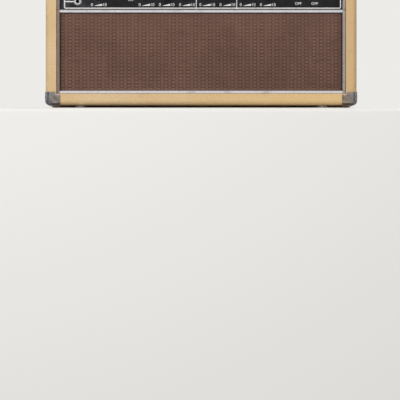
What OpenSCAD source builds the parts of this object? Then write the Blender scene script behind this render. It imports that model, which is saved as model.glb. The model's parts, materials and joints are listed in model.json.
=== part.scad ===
// Guitar amplifier head: a finger-jointed wooden case in textured covering, with a woven grille,
// a recessed control panel, and a hanging chassis that carries the valves and transformers.
// Millimetres. +X is right, the front faces -Y, +Z is up. The origin is the middle of the
// footprint on the standing surface.

/* [Cabinet] */
// Width over the covering
cab_w = 622; // [600:1:700]
// Depth over the covering
cab_d = 260; // [252:1:320]
// Height over the covering, without the feet
cab_h = 280; // [270:1:330]
// Thickness of the wooden boards
board_t = 20; // [15:0.5:25]
// Thickness of the covering
skin_t = 1; // [0.6:0.1:1.6]
// Radius of the outer edges
edge_r = 9; // [6:0.5:14]
// Radius of the edges round the openings
lip_r = 1.6; // [1.4:0.1:3]
// How far the covering is turned in behind the openings
return_d = 30; // [26:1:40]
// Fingers along each corner joint
finger_n = 11; // [7:2:15]
// Clearance between pieces that are only laid side by side
fit_gap = 0.5; // [0.3:0.1:1]

/* [Feet] */
// Height of a glide foot
foot_h = 6; // [4:0.5:12]
// Diameter of a glide foot
foot_d = 22; // [16:1:30]
// From the side of the case to a foot's centre
foot_inset_x = 68; // [45:1:120]
// From the front or back of the case to a foot's centre
foot_inset_y = 35; // [32:1:60]

/* [Corner protectors] */
// Thickness of the pressed steel
corner_t = 1.2; // [0.8:0.1:2]
// Reach along the width and the depth of the case
corner_l = 31; // [26:1:42]
// Reach along the height of the case
corner_h = 27; // [24:1:40]
// Radius of the free corners of each leaf
corner_tip_r = 6; // [3:0.5:9]
// Radius of the notch that clears the opening
corner_notch_r = 6; // [4:0.5:9]

/* [Handle] */
// Distance between the mouths of the two end caps
handle_span = 210; // [180:1:260]
// Width of the strap
strap_w = 28; // [20:1:36]
// Thickness of the strap
strap_t = 5; // [3:0.5:7]
// Height of the gap under the middle of the strap
handle_gap = 15; // [12:0.5:22]
// Height of the strap's underside where it enters a cap
strap_end_h = 4; // [3:0.5:6]
// Length of an end cap
cap_l = 44; // [36:1:60]
// Thickness of an end cap over and beside the strap
cap_t = 2; // [1.5:0.1:3]

/* [Grille and trim] */
// Width of the half-round trim bead
bead_w = 6.4; // [5:0.1:9]
// Depth of the trim bead
bead_d = 6.3; // [5.5:0.1:9]
// From the front edge of the case back to the cloth
grille_recess = 8.2; // [8:0.1:14]
// Thickness of the woven cloth
cloth_t = 0.7; // [0.4:0.1:1.2]
// Thickness of the baffle board
baffle_t = 9; // [6:0.5:12]
// Hairline gap where two beads meet
mitre_gap = 0.1; // [0.05:0.05:0.3]
// Gap between the wrapped baffle and the case
baffle_gap = 0.7; // [0.4:0.1:1.5]
// Side of the square battens that carry baffle and back
cleat_w = 15; // [12:0.5:20]

/* [Back] */
// Thickness of the back board
back_t = 10; // [6:0.5:12]
// How far the back board stands up in front of the rear panel
back_lap = 4; // [2:0.5:8]
// Width of the vent window
vent_w = 340; // [240:2:400]
// Height of the vent window
vent_h = 80; // [50:1:100]
// Height of the middle of the vent window above the inside floor
vent_z = 82; // [72:1:90]
// Overlap of the vent screen behind the window
vent_lap = 15; // [8:1:20]
// Thickness of the vent screen
vent_t = 1; // [0.8:0.1:2]
// Diameter of a hole in the vent screen
vent_hole_d = 9; // [5:0.5:10]
// Distance between holes in the vent screen
vent_pitch = 13; // [12:0.5:20]

/* [Chassis and panels] */
// Visible height of the control panel
panel_view_h = 61; // [60:0.5:70]
// From the front edge of the case back to the control panel
panel_recess = 18; // [17:0.1:20]
// Thickness of the control panel
panel_t = 2.5; // [1.5:0.1:4]
// Gap between the control panel and the case at each side
panel_gap = 4; // [1:0.5:5]
// Thickness of the folded chassis sheet
sheet_t = 2; // [1.2:0.1:3]
// Gap between the chassis and the case at each side
chassis_gap = 13; // [8:0.5:20]
// From the rear edge of the case in to the chassis
rear_recess = 25; // [22:0.5:30]
// Height of the chassis
chassis_h = 64; // [60:0.5:70]
// Width of the lips along the top of the chassis
chassis_lip = 20; // [18:0.5:26]
// Thickness of the rear panel
rear_t = 2; // [1:0.1:3]
// Diameter of a chassis bolt
bolt_d = 6; // [5:0.5:8]
// From the end of the chassis to its bolts
bolt_inset = 46; // [30:1:70]

/* [Rotary controls] */
// Height of the controls above the bottom of the visible panel
knob_z = 34.4; // [28:0.1:36]
// Diameter of a knob's skirt
skirt_d = 29; // [24:0.5:32]
// Thickness of the skirt at its rim
skirt_rim_h = 1.8; // [1.2:0.1:3]
// Height of the skirt where it meets the grip
skirt_h = 4.6; // [3.5:0.1:6]
// Diameter of a knob's grip
grip_d = 19; // [16:0.5:22]
// Height of a knob
knob_h = 17.2; // [15:0.1:17.2]
// Gap between a knob and the control panel
knob_lift = 0.8; // [0.6:0.1:2]
// Number of flutes round a grip
flute_n = 20; // [12:1:26]
// Diameter of a flute
flute_d = 2; // [1.2:0.1:2.4]
// Diameter of the hollow under a knob
knob_hollow_d = 19; // [17:0.5:20]
// Diameter of a control shaft
shaft_d = 6.35; // [6:0.05:6.5]
// Radial running clearance of shafts and pins
running_gap = 0.05; // [0.02:0.01:0.09]
// Diameter of a control's can
pot_d = 24; // [20:0.5:28]
// Length of a control's can
pot_l = 12; // [10:0.5:16]
// Diameter of the threaded neck of controls and sockets
neck_d = 9.4; // [9:0.1:9.6]
// Radial clearance of a hole round a threaded neck
hole_gap = 0.2; // [0.1:0.05:0.4]
// Size of a control's nut across its flats
nut_af = 12.7; // [12:0.1:14]
// Height of a control's nut
nut_h = 2.2; // [1.8:0.1:2.6]
// From the input sockets to the first knob
volume_gap = 40.6; // [36:0.1:46]
// From the first knob to the second
volume_step = 95.8; // [90:0.1:105]
// From the last knob to the standby toggle
presence_gap = 62.7; // [46:0.1:70]
// Width of a control's solder lug
lug_w = 2; // [1.5:0.1:3]
// Length of a control's solder lug
lug_l = 12; // [8:0.5:14]
// Distance between a control's solder lugs
lug_pitch = 5; // [4:0.1:6]
// Depth of a shaft's bore in its knob below the knob's top
knob_cap_t = 3; // [2:0.1:5]
// Depth of the shallow recess in a knob's top
knob_dish_h = 0.5; // [0.3:0.1:1]

/* [Sockets] */
// Bore of a socket for a quarter-inch plug
jack_bore_d = 6.5; // [6.4:0.05:6.7]
// Depth of a socket's bore
jack_bore_l = 30; // [26:0.5:34]
// Outer diameter of a socket's round nut
jack_nut_d = 15.8; // [14:0.1:18]
// Height of a socket's round nut
jack_nut_h = 3.4; // [2:0.1:5]
// From the end of the control panel to the input sockets
jack_inset = 37.3; // [30:0.1:42]
// Height of the lower input socket above the bottom of the visible panel
jack_z = 17.6; // [14:0.1:20]
// Distance between the two input sockets
jack_pitch = 27; // [24:0.1:30]

/* [Toggle switches] */
// Distance between the small toggles
toggle_pitch = 18; // [16:0.1:20]
// From the first knob to the first small toggle
toggle_step = 30; // [29:0.1:32]
// From the panel's right end to the power toggle
power_inset = 57; // [54:0.5:60]
// Distance between the standby and power toggles
power_pitch = 33; // [30:0.5:36]
// Tilt of a lever from straight out
lever_tilt = 11; // [8:0.5:12]
// From the panel's right end to the pilot light
pilot_inset = 27; // [22:0.5:30]
// Diameter of the pilot light's bezel
pilot_d = 18; // [16:0.5:22]
// Height of the pilot light's bezel
pilot_h = 3; // [2:0.1:4]
// Length of the pilot light's body behind the panel
pilot_l = 16; // [12:0.5:22]
// Height of a toggle's body behind the panel
toggle_body_h = 12; // [10:0.5:14]

/* [Small toggle switches] */
// Diameter of the threaded neck
small_neck_d = 6.3; // [6:0.1:7]
// Bore of the neck
small_bore_d = 4.6; // [4.4:0.1:5]
// Height of the neck above the panel
small_neck_h = 7; // [6.6:0.1:8]
// Depth of the pivot below the neck's mouth
small_pivot_h = 4; // [3.5:0.1:4.2]
// Diameter of the pivot pin
small_pin_d = 1.2; // [1:0.1:1.4]
// Length of the lever from its pivot
small_lever_l = 15; // [12:0.5:15]
// Diameter of the lever at its pivot
small_lever_d = 2; // [1.6:0.1:2.2]
// Diameter of the lever's tip
small_tip_d = 3; // [2.4:0.1:3.6]
// Size of the nut across its flats
small_nut_af = 8; // [7.6:0.1:10]
// Height of the nut
small_nut_h = 1.8; // [1.4:0.1:2]
// Width of the body behind the panel
small_body_w = 13; // [8:0.5:14]
// Depth of the body behind the panel
small_body_l = 12; // [8:0.5:18]

/* [Large toggle switches] */
// Diameter of the threaded neck
large_neck_d = 12; // [11:0.1:13]
// Bore of the neck
large_bore_d = 7.4; // [7:0.1:8]
// Height of the neck above the panel
large_neck_h = 7.5; // [7.2:0.1:8.5]
// Depth of the pivot below the neck's mouth
large_pivot_h = 4; // [3.6:0.1:4]
// Diameter of the pivot pin
large_pin_d = 1.8; // [1.4:0.1:2]
// Length of the lever from its pivot
large_lever_l = 15.5; // [12:0.5:15.5]
// Diameter of the lever at its pivot
large_lever_d = 3.4; // [2.8:0.1:3.6]
// Diameter of the lever's tip
large_tip_d = 5.4; // [4:0.1:6]
// Size of the nut across its flats
large_nut_af = 14.5; // [14:0.1:17]
// Height of the nut
large_nut_h = 2.4; // [1.8:0.1:2.5]
// Width of the body behind the panel
large_body_w = 26; // [18:0.5:28]
// Depth of the body behind the panel
large_body_l = 20; // [14:0.5:26]

/* [Rear fittings] */
// Height of the rear fittings above the bottom of the rear panel
rear_z = 32; // [28:0.5:36]
// Distance between neighbouring rear sockets
rear_pitch = 30; // [26:0.5:34]
// From the rear panel's end to the mains inlet
inlet_inset = 50; // [42:0.5:60]
// From the mains inlet to the fuse holder
fuse_step = 55; // [50:0.5:70]
// Width of the mains inlet's flange
inlet_flange_w = 50; // [46:0.5:56]
// Height of the mains inlet's flange
inlet_flange_h = 30; // [26:0.5:34]
// Thickness of the mains inlet's flange
inlet_flange_t = 3; // [2:0.1:4]
// Width of the mains inlet's socket
inlet_socket_w = 24; // [23:0.1:25]
// Height of the mains inlet's socket
inlet_socket_h = 16.5; // [16:0.1:18]
// Depth of the mains inlet's socket
inlet_socket_l = 16; // [14:0.5:20]
// Wall of the mains inlet's body
inlet_wall = 2.2; // [1.6:0.1:3]
// Distance between the mains inlet's blades
blade_pitch = 7; // [6.5:0.1:7.5]
// Thickness of a blade
blade_t = 2; // [1.6:0.1:2.2]
// Width of a blade
blade_w = 6; // [4:0.1:7]
// Length of a blade
blade_l = 11; // [8:0.5:13]
// From the fuse holder to the impedance selector
selector_step = 60; // [50:0.5:70]
// From the impedance selector to the first speaker socket
speaker_step = 45; // [40:0.5:55]
// From the rear panel's end to the effects sockets
effects_inset = 60; // [45:0.5:70]
// Diameter of the fuse holder's cap
fuse_d = 14; // [12:0.5:16]
// Length of the fuse holder behind the panel
fuse_l = 30; // [24:0.5:40]
// Height of the fuse holder's rim
fuse_rim_h = 3; // [2:0.1:4]
// Height of the fuse holder's cap above the panel
fuse_cap_h = 12; // [9:0.5:16]
// Length of the cap's stem inside the fuse holder
fuse_stem_l = 11; // [8:0.5:16]
// Diameter of the impedance selector's knob
selector_d = 20; // [16:0.5:24]
// Height of the impedance selector's knob
selector_h = 11; // [9:0.5:16]
// Diameter of the impedance selector's body
selector_body_d = 26; // [22:0.5:30]
// Length of the impedance selector's body
selector_body_l = 18; // [14:0.5:24]
// Length of the selector's shaft inside its body
selector_shaft_l = 9; // [6:0.5:12]

/* [Valves and transformers] */
// Distance between the power valves
valve_pitch = 45; // [42:0.5:50]
// Diameter of a power valve's glass
valve_d = 38; // [30:0.5:40]
// Length of a power valve's glass
valve_l = 82; // [70:1:95]
// Diameter of a power valve's base
valve_base_d = 33; // [28:0.5:36]
// Height of a power valve's base
valve_base_h = 22; // [16:0.5:26]
// Wall of the glass
glass_t = 1.2; // [0.8:0.1:2]
// Diameter of a preamp valve's shield
shield_d = 24; // [22:0.5:28]
// Length of a preamp valve's shield
shield_l = 52; // [44:1:60]
// Distance between preamp valves
shield_pitch = 45; // [38:0.5:48]
// Width of the power transformer
power_tr_w = 95; // [80:1:100]
// Width of the output transformer
output_tr_w = 76; // [60:1:84]
// Width of the choke
choke_w = 50; // [40:1:56]
// Diameter of a filter capacitor
filter_d = 35; // [25:0.5:36]
// Length of a filter capacitor
filter_l = 60; // [45:1:70]
// Stack of the power transformer's laminations
power_tr_stack = 45; // [35:1:50]
// Stack of the output transformer's laminations
output_tr_stack = 38; // [28:1:42]
// Stack of the choke's laminations
choke_stack = 24; // [18:1:30]
// From the chassis end to the power transformer
power_tr_inset = 12; // [8:0.5:20]
// Clearance between neighbouring parts under the chassis
under_gap = 5; // [4:0.5:10]
// From the chassis back to the middle of the power valves
valve_inset = 57; // [50:0.5:62]
// From the chassis front to the middle of the preamp valves and filter capacitors
front_inset = 70; // [60:0.5:78]
// From the chassis end to the first preamp valve
shield_inset = 40; // [30:0.5:50]
// Height of a valve socket
socket_h = 5; // [4:0.5:8]
// How far a valve socket laps over its hole
socket_lap = 6; // [4:0.5:7]

/* [Circuit board] */
// Thickness of the circuit board
pcb_t = 2.4; // [1.6:0.1:3.2]
// Width of the circuit board
pcb_w = 350; // [300:1:360]
// Depth of the circuit board
pcb_d = 92; // [80:1:100]
// From the chassis end to the circuit board
pcb_inset_x = 61; // [50:1:80]
// From the chassis front to the circuit board
pcb_inset_y = 47.5; // [42:0.5:56]
// Height of the pillars under the circuit board
standoff_h = 14; // [10:0.5:20]
// Diameter of the pillars under the circuit board
standoff_d = 6; // [5:0.5:8]
// From the circuit board's edges to its pillars
standoff_inset = 10; // [8:0.5:14]
// Distance between neighbouring parts on the circuit board
part_pitch = 28; // [24:0.5:28]
// Diameter of a capacitor on the circuit board
film_d = 8.4; // [6:0.1:10]
// Length of a capacitor on the circuit board
film_l = 20; // [16:0.5:22]
// Diameter of a resistor on the circuit board
resistor_d = 4.2; // [3:0.1:5]
// Length of a resistor on the circuit board
resistor_l = 14; // [10:0.5:16]

/* [Hidden] */
$fn = 64;
// A cut runs this far past the face that it opens
over = 1;

wall = board_t + 2 * skin_t;
in_w = cab_w - 2 * wall;
in_h = cab_h - 2 * wall;
z_base = foot_h;
z_top = z_base + cab_h;
z_mid = z_base + cab_h / 2;
z_floor = z_base + wall;
z_ceiling = z_top - wall;
y_front = -cab_d / 2;
y_rear = cab_d / 2;
wood_in_x = in_w / 2 + skin_t;
finger_w = (cab_d - 2 * skin_t) / finger_n;

// Places along the depth, from the front edge back
y_cloth = y_front + grille_recess;
y_baffle = y_cloth + cloth_t;
y_baffle_back = y_baffle + baffle_t;
y_panel = y_front + panel_recess;
y_chassis = y_panel + panel_t;
y_chassis_back = y_rear - rear_recess;
y_rear_panel = y_chassis_back + rear_t;

// Heights of the beads and of what they frame
z_panel_top = z_ceiling - bead_w;
z_panel = z_panel_top - panel_view_h;
z_bead_mid = z_panel - bead_w;
z_grille_top = z_panel - bead_w / 2;
z_chassis = z_ceiling - chassis_h;
z_rear_panel = z_chassis - fit_gap;
z_controls = z_panel + knob_z;
z_jacks = z_panel + jack_z;
z_rear_controls = z_rear_panel + rear_z;

panel_w = in_w - 2 * panel_gap;
panel_lap = bead_w / 2 - fit_gap;
chassis_w = in_w - 2 * chassis_gap;
wall_back = -(panel_t + sheet_t);
rear_wall_back = -(rear_t + sheet_t);

// Places along the width, from the panel's two ends inwards
jack_x = -panel_w / 2 + jack_inset;
volume_x = jack_x + volume_gap;
treble_x = volume_x + volume_step;
power_x = panel_w / 2 - power_inset;
standby_x = power_x - power_pitch;
tone_n = 7;
knob_pitch = (standby_x - presence_gap - treble_x) / (tone_n - 1);
pilot_x = panel_w / 2 - pilot_inset;
toggle_xs = [for (i = [0:2]) volume_x + toggle_step + i * toggle_pitch];
knob_names = ["volume", "treble", "middle", "bass", "level", "ratio", "master", "presence"];
toggle_names = ["bright", "mid", "mode"];
knob_xs = concat([volume_x], [for (i = [0:tone_n - 1]) treble_x + i * knob_pitch]);
inlet_x = panel_w / 2 - inlet_inset;
inlet_body_w = inlet_socket_w + 2 * inlet_wall;
inlet_body_h = inlet_socket_h + 2 * inlet_wall;
fuse_x = inlet_x - fuse_step;
selector_x = fuse_x - selector_step;
speaker_x = selector_x - speaker_step;
effects_x = -panel_w / 2 + effects_inset;
rear_jack_xs = [speaker_x, speaker_x - rear_pitch, effects_x, effects_x + rear_pitch];

// The sizes of a toggle are read by these places in its list
NECK_D = 0;
BORE_D = 1;
NECK_H = 2;
PIVOT_H = 3;
PIN_D = 4;
LEVER_L = 5;
LEVER_D = 6;
TIP_D = 7;
NUT_AF = 8;
NUT_H = 9;
BODY_W = 10;
BODY_L = 11;
small_toggle = [
    small_neck_d, small_bore_d, small_neck_h, small_pivot_h, small_pin_d, small_lever_l,
    small_lever_d, small_tip_d, small_nut_af, small_nut_h, small_body_w, small_body_l
];
large_toggle = [
    large_neck_d, large_bore_d, large_neck_h, large_pivot_h, large_pin_d, large_lever_l,
    large_lever_d, large_tip_d, large_nut_af, large_nut_h, large_body_w, large_body_l
];

// Sizes of small pieces
filter_n = 3;
valve_n = 4;
shield_n = 3;
pot_neck_out = 1.45 * nut_h;
bolt_head_d = 2 * bolt_d;
bolt_head_h = 0.55 * bolt_d;
bolt_nut_h = 0.8 * bolt_d;

// Shared outlines and placings

module rounded_rect(w, h, r) {
    square([w - 2 * r, h], center = true);
    square([w, h - 2 * r], center = true);
    for (x = [-1, 1], y = [-1, 1])
        translate([x * (w / 2 - r), y * (h / 2 - r)]) circle(r);
}

// A rectangle from x = 0 to w whose two corners at x = 0 are rounded
module lipped_strip(w, h, r) {
    translate([r, -h / 2]) square([w - r, h]);
    translate([0, -h / 2 + r]) square([r + over, h - 2 * r]);
    for (y = [-1, 1]) translate([r, y * (h / 2 - r)]) circle(r);
}

module along_y(l) rotate([90, 0, 0]) linear_extrude(l, center = true) children();

module along_x(l) rotate([90, 0, 90]) linear_extrude(l, center = true) children();

// A box given by its two corners
module block(from, to) translate(from) cube(to - from);

module hex(af, h) cylinder(d = af / cos(30), h = h, $fn = 6);

// Local +Z points out of the control panel, local +Y is up
module on_front(x, z) translate([x, y_panel, z]) rotate([90, 0, 0]) children();

// Local +Z points out of the rear panel, local +Y is up
module on_rear(x, z) translate([x, y_rear_panel, z]) rotate([90, 0, 180]) children();

// Local +Z points down from the chassis floor
module under_chassis(x, y) translate([x, y, z_chassis]) rotate([180, 0, 0]) children();

// The case

// The outside of the case, grown by g, with every edge rounded
module case_block(g) {
    translate([0, 0, z_mid]) intersection() {
        along_y(cab_d + 2 * g) rounded_rect(cab_w + 2 * g, cab_h + 2 * g, edge_r + g);
        along_x(cab_w + 2 * g) rounded_rect(cab_d + 2 * g, cab_h + 2 * g, edge_r + g);
        linear_extrude(cab_h + 2 * g, center = true)
            rounded_rect(cab_w + 2 * g, cab_d + 2 * g, edge_r + g);
    }
}

// The four walls of the case, shrunk by o on every face
module case_frame(o) {
    intersection() {
        case_block(-o);
        translate([0, 0, z_mid]) union() {
            for (m = [0, 1]) {
                mirror([m, 0, 0]) translate([in_w / 2 + o, 0, 0])
                    linear_extrude(cab_h + 2 * over, center = true)
                        lipped_strip(wall + over, cab_d - 2 * o, lip_r - o);
                mirror([0, 0, m]) translate([0, 0, in_h / 2 + o]) rotate([0, -90, 0])
                    linear_extrude(cab_w + 2 * over, center = true)
                        lipped_strip(wall + over, cab_d - 2 * o, lip_r - o);
            }
        }
    }
}

// Slabs across the depth that hold every second finger, starting from finger k
module finger_slabs(k) {
    for (i = [k:2:finger_n - 1])
        translate([-cab_w, y_front + skin_t + i * finger_w, 0])
            cube([2 * cab_w, finger_w, 2 * cab_h]);
}

// A side board keeps the even fingers, side is -1 or 1
module side_board(side) {
    difference() {
        intersection() {
            case_frame(skin_t);
            translate([side > 0 ? wood_in_x : -wood_in_x - wall, y_front, 0])
                cube([wall, cab_d, 2 * cab_h]);
        }
        intersection() {
            finger_slabs(1);
            union() {
                block([-cab_w, y_front, 0], [cab_w, y_rear, z_floor - skin_t]);
                block([-cab_w, y_front, z_ceiling + skin_t], [cab_w, y_rear, z_top + over]);
            }
        }
    }
}

// A top or bottom board keeps the odd fingers, side is -1 or 1
module level_board(side) {
    difference() {
        intersection() {
            case_frame(skin_t);
            translate([-cab_w, y_front, side > 0 ? z_ceiling + skin_t : z_floor - skin_t - wall])
                cube([2 * cab_w, cab_d, wall]);
        }
        intersection() {
            finger_slabs(0);
            for (m = [0, 1]) mirror([m, 0, 0])
                block([wood_in_x, y_front, 0], [cab_w, y_rear, 2 * cab_h]);
        }
    }
}

bolt_xs = [-chassis_w / 2 + bolt_inset, chassis_w / 2 - bolt_inset];
bolt_ys = [y_chassis + sheet_t + chassis_lip / 2, y_chassis_back - sheet_t - chassis_lip / 2];

module at_bolts() for (x = bolt_xs, y = bolt_ys) translate([x, y, 0]) children();

module bolt_holes() {
    at_bolts() translate([0, 0, z_ceiling - 2 * bolt_head_d])
        cylinder(d = bolt_d + 2 * hole_gap, h = wall + 4 * bolt_head_d);
}

module left_side_board() color("burlywood") side_board(-1);

module right_side_board() color("burlywood") side_board(1);

module top_board() color("burlywood") difference() {
    level_board(1);
    bolt_holes();
}

module bottom_board() color("burlywood") level_board(-1);

// One wrapped sheet: outside, round the lips, and turned in behind both openings
module vinyl_covering() {
    color("tan") difference() {
        case_frame(0);
        case_frame(skin_t);
        block([-wood_in_x, y_front + return_d, z_floor - skin_t],
              [wood_in_x, y_rear - return_d, z_ceiling + skin_t]);
        bolt_holes();
    }
}

// Outline of one leaf, from the case's corner inwards, with its free corner rounded
module corner_leaf(h) {
    square([corner_l - corner_tip_r, h]);
    square([corner_l, h - corner_tip_r]);
    translate([corner_l - corner_tip_r, h - corner_tip_r]) circle(corner_tip_r);
}

// Three leaves on the shell round one corner of the case, here the left front bottom one
module corner_protector() {
    depth = edge_r + corner_t;
    notch = corner_notch_r - lip_r;
    difference() {
        intersection() {
            difference() {
                case_block(corner_t);
                case_block(0);
            }
            translate([-cab_w / 2 - corner_t, y_front - corner_t, z_base - corner_t]) union() {
                linear_extrude(depth) corner_leaf(corner_l);
                translate([0, depth, 0]) rotate([90, 0, 0]) linear_extrude(depth) corner_leaf(corner_h);
                rotate([90, 0, 90]) linear_extrude(depth) corner_leaf(corner_h);
            }
        }
        translate([-in_w / 2 + notch, y_front, z_floor + notch])
            rotate([90, 0, 0]) cylinder(r = corner_notch_r, h = 2 * edge_r, center = true);
    }
}

module corner_protectors() {
    color("silver") translate([0, 0, z_mid])
        for (x = [0, 1], y = [0, 1], z = [0, 1])
            mirror([x, 0, 0]) mirror([0, y, 0]) mirror([0, 0, z])
                translate([0, 0, -z_mid]) corner_protector();
}

module feet() {
    foot_edge_r = foot_h / 2;
    color("gainsboro")
        for (x = [-1, 1], y = [-1, 1])
            translate([x * (cab_w / 2 - foot_inset_x), y * (cab_d / 2 - foot_inset_y), 0])
                rotate_extrude() {
                    square([foot_d / 2 - foot_edge_r, foot_h]);
                    translate([0, foot_edge_r]) square([foot_d / 2, foot_h - foot_edge_r]);
                    translate([foot_d / 2 - foot_edge_r, foot_edge_r]) intersection() {
                        circle(foot_edge_r);
                        square(2 * foot_edge_r, center = true);
                    }
                }
}

// The handle

strap_rise = handle_gap - strap_end_h;
strap_r = (pow(handle_span / 2, 2) + pow(strap_rise, 2)) / (2 * strap_rise);
strap_half_l = handle_span / 2 + cap_l / 4;

// The strap's arch, grown by g, in the XZ plane
module strap_arch(g) {
    intersection() {
        translate([0, z_top + handle_gap - strap_r]) difference() {
            circle(strap_r + strap_t + g, $fn = 360);
            circle(strap_r - g, $fn = 360);
        }
        translate([-strap_half_l - g, z_top])
            square([2 * strap_half_l + 2 * g, handle_gap + strap_t + over]);
    }
}

module handle_strap() color("saddlebrown") along_y(strap_w) strap_arch(0);

// A pressed cap: rounded outline, top that falls to the far end, and a pocket for the strap
module handle_cap() {
    cap_h = strap_end_h + strap_t + cap_t;
    cap_w = strap_w + 2 * cap_t + 2 * fit_gap;
    cap_end_h = 0.35 * cap_h;
    intersection() {
        translate([handle_span / 2, 0, z_top]) linear_extrude(cap_h) {
            translate([0, -cap_w / 2]) square([cap_l - cap_w / 2, cap_w]);
            translate([cap_l - cap_w / 2, 0]) circle(d = cap_w);
        }
        translate([handle_span / 2, 0, z_top]) along_y(cap_w) polygon([
            [0, 0], [cap_l, 0], [cap_l, cap_end_h], [0.75 * cap_l, 0.75 * cap_h],
            [0.4 * cap_l, 0.97 * cap_h], [0, cap_h]
        ]);
    }
}

module handle_caps() {
    color("silver") difference() {
        for (m = [0, 1]) mirror([m, 0, 0]) handle_cap();
        along_y(strap_w + 2 * fit_gap) strap_arch(fit_gap / 2);
    }
}

// Baffle, grille and trim

// Battens on the side walls and the floor, behind the baffle and in front of the back board
module cleats() {
    cleat_x = in_w / 2 - cleat_w - fit_gap;
    color("burlywood")
        for (y = [y_baffle_back, y_rear_panel - cleat_w]) {
            for (m = [0, 1]) mirror([m, 0, 0])
                block([in_w / 2 - cleat_w, y, z_floor], [in_w / 2, y + cleat_w, z_bead_mid]);
            block([-cleat_x, y, z_floor], [cleat_x, y + cleat_w, z_floor + cleat_w]);
        }
}

baffle_x = in_w / 2 - baffle_gap - cloth_t;
baffle_z = z_floor + baffle_gap + cloth_t;

module baffle_board() {
    color("tan") block([-baffle_x, y_baffle, baffle_z], [baffle_x, y_baffle_back, z_grille_top - cloth_t]);
}

// The cloth lies over the baffle's front and is drawn round its four edges
module grille_cloth() {
    color([0.43, 0.33, 0.29]) difference() {
        block([-baffle_x - cloth_t, y_cloth, baffle_z - cloth_t],
              [baffle_x + cloth_t, y_baffle_back, z_grille_top]);
        block([-baffle_x, y_baffle, baffle_z],
              [baffle_x, y_baffle_back + over, z_grille_top - cloth_t]);
    }
}

// Half-round outline grown by g, with its flat back on the cloth
module bead_outline(g) {
    w = bead_w + 2 * g;
    intersection() {
        union() {
            translate([-w / 2, 0]) square([w, bead_d - bead_w / 2]);
            translate([0, bead_d - bead_w / 2]) circle(d = w);
        }
        translate([-w, 0]) square([2 * w, bead_d + w]);
    }
}

// A level bead of length l whose lower edge is at height z
module level_bead(l, z) {
    translate([0, y_cloth, z + bead_w / 2]) rotate([0, 90, 0])
        linear_extrude(l, center = true) rotate(180) bead_outline(0);
}

module upright_bead(side, g) {
    translate([side * (in_w / 2 - bead_w / 2), y_cloth, z_floor])
        linear_extrude(in_h) rotate(180) bead_outline(g);
}

// The beads meet in mitres at the case's corners, and the middle one is coped to the uprights
module trim_beads() {
    mitre_x = in_w / 2 - bead_w;
    color("gainsboro") {
        for (m = [0, 1]) translate([0, 0, z_mid]) mirror([0, 0, m]) translate([0, 0, -z_mid])
            intersection() {
                level_bead(in_w, z_floor);
                translate([0, y_cloth, z_floor]) along_y(4 * bead_d) polygon([
                    [mitre_gap - in_w / 2, 0], [in_w / 2 - mitre_gap, 0],
                    [mitre_x - mitre_gap, bead_w], [mitre_gap - mitre_x, bead_w]
                ]);
            }
        for (side = [-1, 1]) intersection() {
            upright_bead(side, 0);
            translate([0, y_cloth, 0]) along_y(4 * bead_d) polygon([
                [side * in_w / 2, z_floor], [side * mitre_x, z_floor + bead_w],
                [side * mitre_x, z_ceiling - bead_w], [side * in_w / 2, z_ceiling]
            ]);
        }
        difference() {
            level_bead(in_w - bead_w, z_bead_mid);
            for (side = [-1, 1]) upright_bead(side, mitre_gap);
        }
    }
}

// The back

back_x = in_w / 2 - fit_gap;
z_vent = z_floor + vent_z;

module back_panel() {
    color("tan") difference() {
        block([-back_x, y_rear_panel, z_floor + fit_gap],
              [back_x, y_rear_panel + back_t, z_rear_panel + back_lap]);
        translate([0, y_rear_panel + back_t / 2, z_vent])
            along_y(back_t + 2 * over) rounded_rect(vent_w, vent_h, vent_h / 5);
    }
}

vent_cols = floor((vent_w - vent_hole_d) / vent_pitch);
vent_rows = floor((vent_h - vent_hole_d) / vent_pitch);

module vent_screen() {
    color("dimgray") difference() {
        translate([0, y_rear_panel - vent_t / 2, z_vent])
            cube([vent_w + 2 * vent_lap, vent_t, vent_h + 2 * vent_lap], center = true);
        for (i = [0:vent_cols - 1], j = [0:vent_rows - 1])
            translate([(i - (vent_cols - 1) / 2) * vent_pitch, y_rear_panel - vent_t / 2,
                       z_vent + (j - (vent_rows - 1) / 2) * vent_pitch])
                rotate([90, 0, 0]) cylinder(d = vent_hole_d, h = vent_t + 2 * over, center = true);
    }
}

// Chassis and panels

// Necks and bodies that pass through the control panel and the chassis behind it
module front_holes() {
    for (x = knob_xs) on_front(x, z_controls) panel_hole(neck_d);
    for (j = [0, 1]) on_front(jack_x, z_jacks + j * jack_pitch) panel_hole(neck_d);
    for (x = toggle_xs) on_front(x, z_controls) panel_hole(small_neck_d);
    for (x = [standby_x, power_x]) on_front(x, z_controls) panel_hole(large_neck_d);
    on_front(pilot_x, z_controls) panel_hole(pilot_neck_d);
}

module rear_holes() {
    for (x = rear_jack_xs) on_rear(x, z_rear_controls) panel_hole(neck_d);
    on_rear(selector_x, z_rear_controls) panel_hole(neck_d);
    on_rear(fuse_x, z_rear_controls) panel_hole(fuse_d);
    on_rear(inlet_x, z_rear_controls)
        linear_extrude(8 * sheet_t + 8 * panel_t, center = true)
            square([inlet_body_w + 2 * hole_gap, inlet_body_h + 2 * hole_gap], center = true);
}

module panel_hole(d) cylinder(d = d + 2 * hole_gap, h = 8 * sheet_t + 8 * panel_t, center = true);

// A folded tray with lips turned in along its top, hung from the roof of the case
module chassis() {
    x = chassis_w / 2;
    color("lightgray") difference() {
        block([-x, y_chassis, z_chassis], [x, y_chassis_back, z_ceiling]);
        block([-x + sheet_t, y_chassis + sheet_t, z_chassis + sheet_t],
              [x - sheet_t, y_chassis_back - sheet_t, z_ceiling - sheet_t]);
        block([-x + sheet_t, y_chassis + sheet_t + chassis_lip, z_chassis + sheet_t],
              [x - sheet_t, y_chassis_back - sheet_t - chassis_lip, z_ceiling + over]);
        front_holes();
        rear_holes();
        bolt_holes();
        for (p = socket_places) under_chassis(p[0], p[1])
            cylinder(d = p[2] + 2 * hole_gap, h = 6 * sheet_t, center = true);
    }
}

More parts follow.
